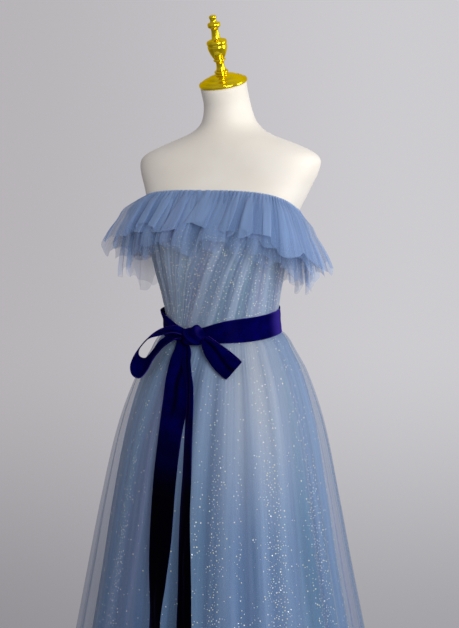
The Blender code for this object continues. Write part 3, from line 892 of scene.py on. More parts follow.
def turned(name: str, outline: Sequence[Corner], steps: int, place: Matrix) -> Piece:
    """A solid of revolution.

    Args:
        name: The object's name.
        outline: Radius and height along the axis, from the top down, with both ends on the axis.
        steps: Columns round the axis.
        place: Where its own Z axis goes.

    Returns:
        The object.
    """
    mesh = bpy.data.meshes.new(name)
    shape = bmesh.new()
    rings = []
    for radius, height in outline:
        turns = [math.tau * i / steps for i in range(steps if radius > 0 else 1)]
        places = [Vector((radius * math.cos(a), radius * math.sin(a), height)) for a in turns]
        rings.append([shape.verts.new(place @ point) for point in places])
    for upper, lower in zip(rings, rings[1:]):
        for i in range(steps):
            around = (upper, i), (lower, i), (lower, i + 1), (upper, i + 1)
            corners = [ring[at % len(ring)] for ring, at in around]
            shape.faces.new(list(dict.fromkeys(corners)))
    bmesh.ops.recalc_face_normals(shape, faces=shape.faces)
    shape.to_mesh(mesh)
    shape.free()
    mesh.shade_smooth()
    return placed(name, mesh)


def plate(outline: Sequence[Corner], near: float, far: float, bevel: float) -> bmesh.types.BMesh:
    """A plate with rounded edges that stands in the X-Z plane.

    Args:
        outline: Its corners, as x and z.
        near: Its nearer face, as y.
        far: Its further face.
        bevel: How far its edges are rounded.

    Returns:
        The shape.
    """
    shape = bmesh.new()
    face = shape.faces.new([shape.verts.new((x, near, z)) for x, z in outline])
    drawn_out = bmesh.ops.extrude_face_region(shape, geom=[face])["geom"]
    moved = [part for part in drawn_out if isinstance(part, bmesh.types.BMVert)]
    bmesh.ops.translate(shape, verts=moved, vec=(0.0, far - near, 0.0))
    bmesh.ops.recalc_face_normals(shape, faces=shape.faces)
    sharp = [edge for edge in shape.edges if edge.calc_face_angle(0.0) > math.radians(50)]
    bmesh.ops.bevel(
        shape, geom=sharp, offset=bevel, segments=3, profile=0.5, affect="EDGES", clamp_overlap=True
    )
    return shape


def rod(start: Vector, end: Vector, radius: float) -> bmesh.types.BMesh:
    """A round bar of 20 sides.

    Args:
        start: The middle of one end.
        end: The middle of the other.
        radius: Its radius.

    Returns:
        The shape.
    """
    shape = bmesh.new()
    turn = (end - start).to_track_quat("Z", "Y").to_matrix().to_4x4()
    place = Matrix.Translation((start + end) / 2) @ turn
    length = (end - start).length
    bmesh.ops.create_cone(
        shape, cap_ends=True, segments=20, radius1=radius, radius2=radius, depth=length, matrix=place
    )
    return shape


def joined(name: str, shapes: Sequence[bmesh.types.BMesh]) -> Piece:
    """One piece of several shapes, smooth but for its sharp edges.

    Args:
        name: The object's name.
        shapes: The shapes, which are used up.

    Returns:
        The object.
    """
    mesh = bpy.data.meshes.new(name)
    whole = bmesh.new()
    for shape in shapes:
        part = bpy.data.meshes.new("part")
        shape.to_mesh(part)
        shape.free()
        whole.from_mesh(part)
        bpy.data.meshes.remove(part)
    whole.to_mesh(mesh)
    whole.free()
    mesh.shade_smooth()
    mesh.set_sharp_from_angle(angle=math.radians(40))
    return placed(name, mesh)


def finish_piece(
    piece: Piece, material: Material, slot: str, *nodes: str, body: Body = Body.GOWN
) -> Piece:
    """Dresses a piece and ties it to the frame.

    Args:
        piece: The object.
        material: Its material.
        slot: The record's material slot; not used.
        *nodes: The nodes that it stands for.
        body: The body that it rides on.

    Returns:
        The piece.
    """
    piece.data.materials.clear()
    piece.data.materials.append(material)
    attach(piece, body.value)
    if nodes:
        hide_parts(*nodes)
    log.info("%s: %d faces", piece.name, len(piece.data.polygons))
    return piece


# --- dress form and stand ---


class BodyShape:
    """The surface of the dress form, which the bodice, zip, sash and ruffle lie on."""

    SECTIONS = Table(
        "height half_width front back squareness tilt",
        [
            (1.554, 0.0475, 0.0430, 0.0460, 2.0, 19),
            (1.515, 0.0475, 0.0300, 0.0630, 2.0, 14),
            (1.478, 0.0570, 0.0310, 0.0790, 2.0, 6),
            (1.455, 0.0850, 0.0380, 0.0930, 2.0, 0),
            (1.428, 0.1580, 0.0480, 0.1020, 2.1, 0),
            (1.408, 0.1960, 0.0520, 0.1020, 2.5, 0),
            (1.386, 0.1995, 0.0590, 0.1030, 2.7, 0),
            (1.336, 0.1790, 0.0770, 0.1000, 2.6, 0),
            (1.290, 0.1590, 0.1010, 0.0970, 2.5, 0),
            (1.245, 0.1480, 0.1220, 0.0920, 2.35, 0),
            (1.180, 0.1350, 0.1150, 0.0840, 2.25, 0),
            (1.110, 0.1220, 0.0970, 0.0780, 2.2, 0),
            (1.060, 0.1175, 0.0910, 0.0780, 2.2, 0),
            (1.000, 0.1300, 0.0970, 0.0880, 2.2, 0),
            (0.930, 0.1450, 0.1040, 0.1010, 2.25, 0),
            (0.860, 0.1510, 0.1080, 0.1070, 2.3, 0),
            (0.800, 0.1450, 0.1020, 0.1000, 2.3, 0),
        ],
    )
    NECK_TOP = 1.554
    FOOT = 0.800
    NECKLINE_FRONT = 1.336
    NECKLINE_DROP = 0.085
    NECKLINE_SWEEP = 1.25
    WAIST_BACK_RISE = 0.026

    def point(self, angle: Array, height: Array) -> Array:
        """The surface, on a ring that may be tilted.

        Args:
            angle: Where, round the form.
            height: How high the ring's middle lies.

        Returns:
            The points.
        """
        section = self.SECTIONS.at(height)
        half_depth = (section["front"] + section["back"]) / 2
        x, y = ring_xy(angle, section["half_width"], half_depth, section["squareness"])
        rise = y * np.tan(np.radians(section["tilt"]))
        return stacked(x, y + (section["back"] - section["front"]) / 2, height + rise)

    def wrapped(self, angle: Array, height: Array, distance: Numbers) -> Array:
        """A point this far out from the form."""
        away = outward_of(lambda turn: self.point(turn, height), angle)
        return self.point(angle, height) + away * np.asarray(distance)[..., None]

    def neckline(self, angle: Array) -> Array:
        """The height of the bodice's top edge."""
        share = (1 - np.cos(angle)) / 2
        return self.NECKLINE_FRONT - self.NECKLINE_DROP * share**self.NECKLINE_SWEEP

    def beside_back(self, x: float, height: Array) -> Array:
        """The angles that lie this far to the gown's left of its centre back."""
        section = self.SECTIONS.at(height)
        return math.pi - np.arcsin((x / section["half_width"]) ** (section["squareness"] / 2))

    def waist_rise(self, angle: Array) -> Array:
        """How far the waist has risen here, from the centre front."""
        return self.WAIST_BACK_RISE * (1 - np.cos(angle)) / 2


@dataclass
class DressForm:
    """The padded form with its turned cap, finial, pole and base."""

    body: BodyShape
    finishes: Finishes
    rings: int = 110
    columns: int = 128
    edge_round: float = 0.012
    edge_inset: float = 0.6
    neck_lean: float = math.radians(19)
    neck_middle: float = 0.0015
    gap: float = 0.3 * MM
    steps: int = 72

    CAP = (
        (0.0, 0.0275), (0.0135, 0.0272), (0.0145, 0.0258), (0.0142, 0.0238), (0.0122, 0.0222),
        (0.0122, 0.0205), (0.0160, 0.0192), (0.0245, 0.0172), (0.0320, 0.0140), (0.0335, 0.0120),
        (0.0370, 0.0116), (0.0400, 0.0108), (0.0440, 0.0080), (0.0462, 0.0062), (0.0485, 0.0058),
        (0.0495, 0.0045), (0.0495, 0.0010), (0.0488, 0.0), (0.0, 0.0),
    )
    FINIAL = (
        (0.0, 0.1120), (0.0050, 0.1118), (0.0072, 0.1104), (0.0078, 0.1080), (0.0070, 0.1052),
        (0.0062, 0.1030), (0.0066, 0.1000), (0.0080, 0.0975), (0.0118, 0.0968), (0.0130, 0.0950),
        (0.0130, 0.0900), (0.0118, 0.0880), (0.0090, 0.0868), (0.0076, 0.0845), (0.0074, 0.0800),
        (0.0082, 0.0720), (0.0088, 0.0665), (0.0096, 0.0645), (0.0150, 0.0628), (0.0196, 0.0608),
        (0.0206, 0.0585), (0.0206, 0.0550), (0.0196, 0.0530), (0.0192, 0.0515), (0.0200, 0.0500),
        (0.0194, 0.0440), (0.0168, 0.0360), (0.0130, 0.0280), (0.0106, 0.0246), (0.0104, 0.0236),
        (0.0124, 0.0225), (0.0126, 0.0208), (0.0108, 0.0192), (0.0088, 0.0178), (0.0082, 0.0140),
        (0.0086, 0.0070), (0.0098, 0.0020), (0.0100, 0.0), (0.0, 0.0),
    )
    BASE = (
        (0.0, 0.0320), (0.0270, 0.0320), (0.0296, 0.0312), (0.0300, 0.0290), (0.0310, 0.0210),
        (0.0360, 0.0180), (0.0600, 0.0172), (0.1140, 0.0150), (0.1600, 0.0122), (0.1860, 0.0098),
        (0.1895, 0.0078), (0.1900, 0.0055), (0.1900, 0.0), (0.0, 0.0),
    )

    def torso(self) -> None:
        """The form itself, with a soft lower edge."""
        share = np.linspace(0, 1, self.rings)[:, None]
        turn = np.linspace(0, math.tau, self.columns, endpoint=False)[None, :]
        height, angle = np.broadcast_arrays(mixed(self.body.NECK_TOP, self.body.FOOT, share), turn)
        points = self.body.point(angle, height)
        from_foot = np.clip((height - self.body.FOOT) / self.edge_round, 0, 1)
        inset = (1 - np.sqrt(1 - (1 - from_foot) ** 2)) * self.edge_round * self.edge_inset
        away = unit(points * np.array([1, 1, 0]))
        piece = surface("form_torso", points - away * inset[..., None], ring=True)
        close_ends(piece)
        finish_piece(piece, self.finishes.form, "form_cream", "dress_form")

    def pole(self) -> list[Corner]:
        """The outline of the pole and of the plate that holds the form up.

        Returns:
            Radius and height, from the top down.
        """
        top = self.body.FOOT - self.gap
        foot = self.BASE[0][1] + self.gap
        return [
            (0.0, top), (0.0490, top), (0.0500, top - 1 * MM), (0.0500, top - 7 * MM),
            (0.0490, top - 8 * MM), (0.0200, top - 15 * MM), (0.0160, top - 18 * MM),
            (0.0160, foot + 1 * MM), (0.0155, foot), (0.0, foot),
        ]

    def metalwork(self) -> None:
        """The cap and finial on the neck, and the pole and base under the form."""
        neck = Vector((0.0, self.neck_middle, self.body.NECK_TOP + self.gap))
        on_neck = Matrix.Translation(neck) @ Matrix.Rotation(self.neck_lean, 4, "X")
        on_cap = on_neck @ Matrix.Translation((0.0, 0.0, self.CAP[0][1] + self.gap))
        for node, outline, place in (
            ("neck_cap", self.CAP, on_neck),
            ("finial", self.FINIAL, on_cap),
            ("stand_pole", self.pole(), Matrix()),
            ("stand_base", self.BASE, Matrix()),
        ):
            piece = turned(f"{node}_plated", outline, self.steps, place)
            finish_piece(piece, self.finishes.gold, "gold", node)

    def build(self) -> None:
        """Makes the form and its metal parts."""
        self.torso()
        self.metalwork()


# --- bodice and zip ---


@dataclass
class Bodice:
    """The pleated bodice: a front panel and two back panels that meet at the zip."""

    body: BodyShape
    finishes: Finishes
    waist_seam: float = 1.050
    length: float = 0.26
    metres_per_radian: float = 0.15
    seat: float = 0.6 * MM
    wall: float = 1.4 * MM
    cloth_wall: float = 0.9 * MM
    pleats: int = 24
    pleat_depth: float = 1.7 * MM
    micro_pleats: int = 88
    micro_depth: float = 0.5 * MM
    slant: float = math.radians(-44)
    slant_to_left: float = 0.9
    flat_by_zip: float = math.radians(20)
    seam_gap: float = 0.3 * MM
    zip_edge: float = 2.4 * MM
    rows: int = 52
    columns_per_degree: float = 2.2

    def pleated(self, angle: Array, wander: Array) -> Pair:
        """How far the cloth lies from a hollow (0) to a crest (1).

        Args:
            angle: Where, round the form, along the neckline.
            wander: How far the pleats drift from even spacing.

        Returns:
            The share on the main pleats, and on the fine ones between them.
        """
        main = (1 + np.cos(self.pleats * angle + 0.6 * np.sin(3 * angle) + 0.5 * wander)) / 2
        micro = (1 + np.cos(self.micro_pleats * angle + wander + 2.0 * np.sin(7 * angle))) / 2
        return main, micro

    def panel(self, name: str, node: str, start: Numbers, end: Numbers, slant: float) -> Piece:
        """One panel.

        Args:
            name: The piece's name.
            node: The node that it stands for.
            start: Its first edge, as one angle or as an angle for each row.
            end: Its last edge.
            slant: How far the pleats lean over the panel's height.

        Returns:
            The piece.
        """
        columns = int(math.degrees(float(np.max(end - start))) * self.columns_per_degree)
        angle = mixed(start, end, np.linspace(0, 1, columns)[None, :])
        share = np.linspace(0, 1, self.rows)[:, None]
        lean = np.cos(angle) ** 2 * (1 + self.slant_to_left * np.sin(angle))
        leaned = angle + slant * (share - 0.5) * lean
        top = self.body.neckline(leaned)
        foot = self.waist_seam + self.body.waist_rise(leaned)
        height = mixed(top, foot, share)
        main, micro = self.pleated(angle, 0.9 * np.sin(5 * leaned + 4 * share))
        swell = np.sin(np.clip(share * 1.05, 0, 1) * math.pi) ** 0.7
        flat_back = np.clip((math.pi - np.abs(leaned)) / self.flat_by_zip, 0, 1)
        pleat = self.pleat_depth * swell * main**0.8
        rise = flat_back * (pleat + self.micro_depth * (0.4 + 0.6 * swell) * micro)
        points = self.body.wrapped(leaned, height, self.seat + self.wall + rise)
        # the crest share, which the finish paints as light on crests and shade in hollows
        cloth = stacked(angle * self.metres_per_radian, self.length * share, 0.65 * main + 0.35 * micro)
        piece = surface(name, points, cloth)
        thicken(piece, self.cloth_wall)
        return finish_piece(piece, self.finishes.bodice, "bodice_tulle", node)

    def build(self) -> dict[str, Piece]:
        """Makes the three panels.

        Returns:
            The panels: front, left and right.
        """
        side = self.seam_gap / self.metres_per_radian
        quarter = math.pi / 2
        top = float(self.body.neckline(np.array(math.pi)))
        foot = self.waist_seam + float(self.body.waist_rise(np.array(math.pi)))
        by_zip = self.body.beside_back(self.zip_edge, np.linspace(top, foot, self.rows)[:, None])
        made = {}
        for key, node, start, end, slant in (
            ("front", "bodice_front", side - quarter, quarter - side, self.slant),
            ("left", "bodice_back_left", quarter + side, by_zip, 0.0),
            ("right", "bodice_back_right", -by_zip, -quarter - side, 0.0),
        ):
            made[key] = self.panel(f"{node}_cloth", node, start, end, slant)
        return made


@dataclass
class Zip:
    """The centre-back zip: its tape and teeth, and the slider with its pull tab."""

    body: BodyShape
    finishes: Finishes
    waist_seam: float = 1.050
    clearance: float = 0.6 * MM
    width: float = 4.0 * MM
    tape: float = 0.8 * MM
    lines: int = 7
    steps: int = 40
    tooth: tuple[float, float, float] = (1.0 * MM, 0.95 * MM, 2.1 * MM)
    tooth_pitch: float = 1.6 * MM
    tooth_middle: float = 0.75 * MM
    tooth_seat: float = 1.9 * MM
    stitch: tuple[float, float, float] = (1.5 * MM, 0.3 * MM, 0.3 * MM)
    stitch_pitch: float = 2.4 * MM
    stitch_middle: float = 1.7 * MM
    hinge: tuple[float, float] = (0.0970, 1.2360)
    pin: float = 0.45 * MM
    hub: float = 0.80 * MM
    slider_plate: tuple[float, float] = (0.09407, 0.09547)
    ear_reach: float = 0.09807
    ear: tuple[float, float] = (2.1 * MM, 3.3 * MM)
    pin_bite: float = 0.4 * MM
    tab: tuple[float, float] = (0.09637, 0.09757)
    tab_length: float = 26.0 * MM
    tab_rim: float = 0.8 * MM
    tab_sink: float = 0.25 * MM
    broadside: float = 60 * MM**2

    def back_line(self, x: float, height: Array, distance: float) -> Array:
        """A line down the centre back.

        Args:
            x: How far it lies to the gown's left of the middle.
            height: The heights of its points.
            distance: How far out from the form it lies.

        Returns:
            Its points.
        """
        points = self.body.wrapped(np.full_like(height, math.pi), height, distance)
        points[..., 0] = x
        return points

    def heights(self, start: float = 0.0) -> Array:
        """Heights down the zip.

        Args:
            start: How far below the neckline they begin.

        Returns:
            The heights, from the top down.
        """
        top = float(self.body.neckline(np.array(math.pi))) - start
        foot = self.waist_seam + float(self.body.waist_rise(np.array(math.pi)))
        return np.linspace(top, foot, self.steps)

    def chain(self) -> None:
        """The tape, its teeth and the stitches that hold it."""
        half = self.width / 2
        outside = self.clearance + self.tape
        lines = [self.back_line(x, self.heights(), outside) for x in np.linspace(half, -half, self.lines)]
        tape = surface("zip_tape", np.stack(lines, axis=1))
        thicken(tape, self.tape)
        finish_piece(tape, self.finishes.zip_nylon, "zip_nylon", "zip_chain")
        teeth = [
            self.back_line(self.tooth_middle, self.heights(), self.tooth_seat),
            self.back_line(-self.tooth_middle, self.heights(self.tooth_pitch / 2), self.tooth_seat),
        ]
        seams = [self.back_line(side * self.stitch_middle, self.heights(), outside) for side in (1, -1)]
        for name, rows, material, pitch, size in (
            ("zip_teeth", teeth, self.finishes.zip_nylon, self.tooth_pitch, self.tooth),
            ("zip_stitches", seams, self.finishes.thread, self.stitch_pitch, self.stitch),
        ):
            piece = lines_mesh(name, rows)
            grown(piece, row_graph(f"{name}_rows", material), Pitch=pitch, Size=size)
            finish_piece(piece, material, "zip_nylon")

    def slider(self) -> None:
        """The slider: a shield-shaped plate, two lugs and the pin that the tab swings on."""
        y, z = self.hinge
        top, foot = z + 3.0 * MM, z - 6.0 * MM
        wide, narrow = 3.3 * MM, 2.5 * MM
        right = [
            (wide - 0.8 * MM, top),
            (wide, top - 0.9 * MM),
            (wide, z - 1.0 * MM),
            (narrow, foot + 1.0 * MM),
            (1.6 * MM, foot),
        ]
        outline = right + [(-x, height) for x, height in reversed(right)]
        shapes = [plate(outline, *self.slider_plate, 0.3 * MM)]
        inner, outer = self.ear
        low, high = z - 2.6 * MM, z + 2.2 * MM
        corners = ((inner, low), (inner, high), (outer, high), (outer, low))
        for side in (1, -1):
            lug = [(side * x, height) for x, height in corners]
            shapes.append(plate(lug, self.slider_plate[1] - 0.2 * MM, self.ear_reach, 0.35 * MM))
        reach = inner + self.pin_bite
        shapes.append(rod(Vector((-reach, y, z)), Vector((reach, y, z)), self.pin))
        piece = joined("zip_slider_cast", shapes)
        finish_piece(piece, self.finishes.zip_metal, "zip_metal", "zip_slider")

    def pull_tab(self) -> None:
        """The pull tab: a rounded plate with a sunk middle, on a hub round the slider's pin."""
        y, z = self.hinge
        neck, broad, corner = 1.7 * MM, 3.0 * MM, 2.0 * MM
        foot = z - self.tab_length
        arc = [math.radians(a) for a in range(0, 91, 15)]
        right = [(neck, z), (neck, z - 7.0 * MM), (broad, z - 10.0 * MM)]
        for a in arc:
            right.append((broad - corner + corner * math.cos(a), foot + corner - corner * math.sin(a)))
        outline = right + [(-x, height) for x, height in reversed(right)]
        shape = plate(outline, *self.tab, 0.25 * MM)
        for side in (-1, 1):
            flat = [face for face in shape.faces if face.normal.y * side > 0.99]
            faces = [face for face in flat if face.calc_area() > self.broadside]
            bmesh.ops.inset_region(shape, faces=faces, thickness=self.tab_rim, depth=0.0)
            bmesh.ops.inset_region(shape, faces=faces, thickness=0.2 * MM, depth=-self.tab_sink)
        hub = rod(Vector((-neck, y, z)), Vector((neck, y, z)), self.hub)
        piece = joined("zip_tab_cast", [shape, hub])
        finish_piece(piece, self.finishes.zip_metal, "zip_metal", "zip_pull_tab", body=Body.ZIP_PULL)

    def build(self) -> None:
        """Makes the whole zip."""
        self.chain()
        self.slider()
        self.pull_tab()


# --- ruffle ---


@dataclass(frozen=True)
class Leaf:
    """One leaf of a tier of the ruffle.

    The fall is at the centre front, the tier is 0 for the lower and 1 for the upper, fullness is the
    share of its tier's reach, and shift moves its flutes, in turns of a flute.
    """

    name: str
    fall: float
    tier: float
    fullness: float
    shift: float
    seed: float
    node: str = ""


class Folds:
    """How a leaf of the ruffle folds, at each of its points.

    Sideways is 0 at the centre front and the centre back, phase and gather are angles, crest and
    pleat run from hollow (0) to crest (1), and size and pinch are strengths.
    """

    def __init__(self, ruffle: "Ruffle", leaf: Leaf, angle: Array, share: Array) -> None:
        """Works out the folds.

        Args:
            ruffle: The ruffle's sizes.
            leaf: The leaf's sizes.
            angle: Where, along the neckline.
            share: Where, from the top (0) to the hem (1).
        """
        seed = leaf.seed
        drift = (0.5 * np.sin(3 * angle + leaf.tier) + 1.1 * np.sin(11 * angle + 2 * seed)) * share
        swell = 1.0 + rippled(ruffle.SWELL, angle + 0.04 * seed)
        self.leaf, self.angle, self.share = leaf, angle, share
        self.sideways = np.sin(angle) ** 2 * (1 + ruffle.forward_share * np.cos(angle))
        self.phase = ruffle.waves * angle + rippled(ruffle.WANDER, angle) + math.tau * leaf.shift + drift
        self.size = swell * (1 - ruffle.calm_sides * self.sideways)
        self.crest = 0.5 + 0.5 * np.tanh(1.5 * np.cos(self.phase)) / math.tanh(1.5)
        self.gather = ruffle.gathers * angle + 3 * np.sin(7 * angle + seed) + seed
        self.pleat = (1 + np.cos(self.gather)) / 2
        self.pinch = np.exp(-4 * share) * smoothed(share * 14) * (1 + 0.5 * np.sin(23 * angle + seed))


@dataclass
class Ruffle:
    """Two gathered tiers of tulle, each of two leaves, that hang from the neckline."""

    body: BodyShape
    finishes: Finishes
    lap: float = 3.0 * MM
    side_stretch: float = 0.37
    side_stretch_power: float = 1.6
    left_stretch: tuple[float, float] = (-0.20, 0.75)
    calm_sides: float = 0.74
    left_reach: float = 0.20
    right_flare: float = 10.0 * MM
    flare_fall: tuple[float, float] = (15 * MM, 14 * MM)
    forward_share: float = 0.2
    back_opening: float = 0.020
    back_radius: float = 0.09
    seat: float = 2.3 * MM
    wall: float = 1.6 * MM
    bust: float = 1.245
    rows: int = 27
    columns: int = 880
    waves: int = 28
    soft_wave: float = 1.2 * MM
    gathers: int = 118
    gather_depth: float = 2.0 * MM
    gather_lean: float = 0.9 * MM
    gather_lift: float = 2.2 * MM
    stitched_row: int = 3
    stitch: tuple[float, float, float] = (2.2 * MM, 0.35 * MM, 0.35 * MM)
    stitch_pitch: float = 3.6 * MM
    stitch_out: float = 0.4 * MM
    fold_over: float = 4.6 * MM
    uneven_hem: float = 0.15
    metres_per_radian: float = 0.20

    ROWS = Table(
        "height front_reach side_reach front_gap side_gap wave",
        [
            (0.0, 0.0, 0.0, 0.0005, 0.0005, 0.0),
            (-0.020, 0.003, 0.026, 0.0015, 0.0160, 0.0016),
            (-0.050, 0.007, 0.043, 0.0040, 0.0340, 0.0036),
            (-0.078, 0.011, 0.050, 0.0070, 0.0460, 0.0056),
            (-0.115, 0.016, 0.054, 0.0070, 0.0460, 0.0076),
        ],
    )
    WANDER = (Ripple(0.9, 3, 0.6), Ripple(0.8, 7, 2.0), Ripple(0.75, 13, 0.9))
    SWELL = (Ripple(0.30, 6, 1.68), Ripple(0.26, 11, 5.94))
    LEAVES = (
        Leaf("ruffle_lower_under_leaf", 0.117, 0.0, 0.70, 0.08, 2.2),
        Leaf("ruffle_lower_leaf", 0.113, 0.0, 1.00, 0.00, 0.7, "ruffle_lower"),
        Leaf("ruffle_upper_under_leaf", 0.079, 1.0, 0.76, 0.44, 3.7),
        Leaf("ruffle_upper_leaf", 0.074, 1.0, 1.00, 0.50, 5.3, "ruffle_upper"),
    )

    def hung(self, angle: Array, height: Array, distance: Array) -> Pair:
        """Points that hang straight down and out from the neckline.

        Args:
            angle: Where each line of the cloth leaves the neckline.
            height: How high each point lies.
            distance: How far it lies out from the form, or from its bust further down.

        Returns:
            The points, and the sideward direction along the neckline at each line.
        """
        angle, height = np.broadcast_arrays(angle, height)
        at = np.maximum(height, self.bust)
        neckline = self.body.neckline(angle)
        top = self.body.point(angle, neckline)
        away = outward_of(lambda turn: self.body.point(turn, neckline), angle)
        sideward = stacked(-away[..., 1], away[..., 0], 0.0)
        turn = angle
        for _ in range(4):
            points = self.body.wrapped(turn, at, distance)
            turn = turn - 0.8 * np.sum((points - top) * sideward, axis=-1) / 0.15
        return self.body.wrapped(turn, at, distance), sideward

    def fallen(self, folds: Folds) -> Array:
        """How far each point lies down the cloth, with an uneven hem.

        Args:
            folds: How the leaf folds.

        Returns:
            The way down from the neckline.
        """
        leaf, angle = folds.leaf, folds.angle
        steps = np.tanh(2.5 * np.sin(11 * angle + 3 * leaf.seed))
        fine_steps = 0.6 * np.sin(29 * angle + leaf.seed) * (1 - 0.85 * folds.sideways)
        uneven = (steps + 0.8 * np.sin(16 * angle + leaf.seed) + fine_steps) / 2
        change = self.uneven_hem * uneven - 0.05 * folds.crest * folds.size
        return leaf.fall * folds.share * (1 + folds.share**2 * change)

    def distance(self, folds: Folds, fall: Array) -> Array:
        """How far each point lies out from the form.

        Args:
            folds: How the leaf folds.
            fall: How far each point lies down the cloth.

        Returns:
            The distance.
        """
        row = self.ROWS.at(-fall)
        side_reach = row["side_reach"] * (1 - self.left_reach * np.sin(folds.angle))
        reach = mixed(row["front_reach"], side_reach, folds.sideways)
        middle, spread = self.flare_fall
        early = bell((fall - middle) / spread) * np.maximum(-np.sin(folds.angle), 0) ** 2
        reach = reach + self.right_flare * early * smoothed(folds.share * 12)
        gap = mixed(row["front_gap"], row["side_gap"], folds.sideways)
        gap = folds.leaf.tier * (self.wall + gap)
        flutes = 2 * row["wave"] * folds.size * folds.crest
        wave = flutes + self.gather_depth * folds.pinch * folds.pleat
        wave = wave + self.soft_wave * np.sin(folds.phase + 0.6) * smoothed(folds.share)
        out = self.seat + self.wall + (reach + gap) * folds.leaf.fullness + wave
        return np.maximum(out, self.seat)

    def leaf(self, leaf: Leaf) -> Piece:
        """One leaf of a tier.

        Args:
            leaf: Its sizes.

        Returns:
            The surface.
        """
        half_opening = self.back_opening / 2 / self.back_radius
        angle = np.linspace(half_opening - math.pi, math.pi - half_opening, self.columns)[None, :]
        share = np.linspace(0, 1, self.rows)[:, None] ** 1.1
        folds = Folds(self, leaf, angle, share)
        fall = self.fallen(folds)
        to_left = mixed(*self.left_stretch, leaf.tier) * np.maximum(np.sin(angle), 0)
        stretch = self.side_stretch * folds.sideways**self.side_stretch_power * (1 + to_left)
        height = self.body.neckline(angle) + self.lap - fall * (1 + stretch)
        points, sideward = self.hung(angle, height, self.distance(folds, fall))
        doubled = np.sin(2 * folds.phase) + 0.35 * np.sin(folds.phase + 1.0)
        lean = self.fold_over * folds.size * doubled * smoothed(share * 1.5)
        lean = lean + self.gather_lean * np.sin(folds.gather) * folds.pinch
        points = points + sideward * lean[..., None]
        lift = self.gather_lift * (folds.pleat - 0.5) * (1 - smoothed(share * 4))
        points[..., 2] = height + lift
        # painted shade in the flutes' hollows and between the gathers near the top, evener at the sides
        painted_fold_shading = mixed(mixed(folds.crest, 0.55, 0.6 * folds.sideways), folds.pleat, 0.8 * np.exp(-6 * share))
        if leaf is self.LEAVES[-1]:
            self.stitches(points[self.stitched_row])
        return surface(leaf.name, points, stacked(angle * self.metres_per_radian + leaf.seed, fall, painted_fold_shading))

    def stitches(self, line: Array) -> None:
        """The running stitches that hold the gathers at the neckline.

        Args:
            line: The row of the outer leaf that they go through.
        """
        away = unit(line * np.array([1, 1, 0]))
        piece = lines_mesh("ruffle_stitches", [line + away * self.stitch_out])
        rows = row_graph("ruffle_thread", self.finishes.thread)
        grown(piece, rows, Pitch=self.stitch_pitch, Size=self.stitch)
        finish_piece(piece, self.finishes.thread, "ruffle_tulle")

    def build(self) -> None:
        """Makes both tiers."""
        for leaf in self.LEAVES:
            nodes = (leaf.node,) if leaf.node else ()
            finish_piece(self.leaf(leaf), self.finishes.ruffle, "ruffle_tulle", *nodes)


# --- skirt ---


@dataclass(frozen=True)
class Crease:
    """A soft trough (below 0) or ridge (above 0) that runs down the skirt.

    Its middle and half its width are in degrees, its size runs from -1 to 1, and its start is how
    far below the waist it begins. A trough also darkens the colour as painted shade, and a ridge
    lightens it as a painted highlight.
    """

    angle: float
    spread: float
    size: float
    start: float = 0.10


@dataclass(frozen=True)
class Layer:
    """One layer of the skirt, which has a front and a back panel.

    The seat is how far out the sash holds it, inset its share of the room between the layers, folds
    and crests are shares of the table's folds, and lift raises its hem.
    """

    name: str
    node: str
    slot: str
    seat: float
    inset: float
    folds: float
    crests: float
    gathers: int
    lift: float
    seed: float
    weave: float


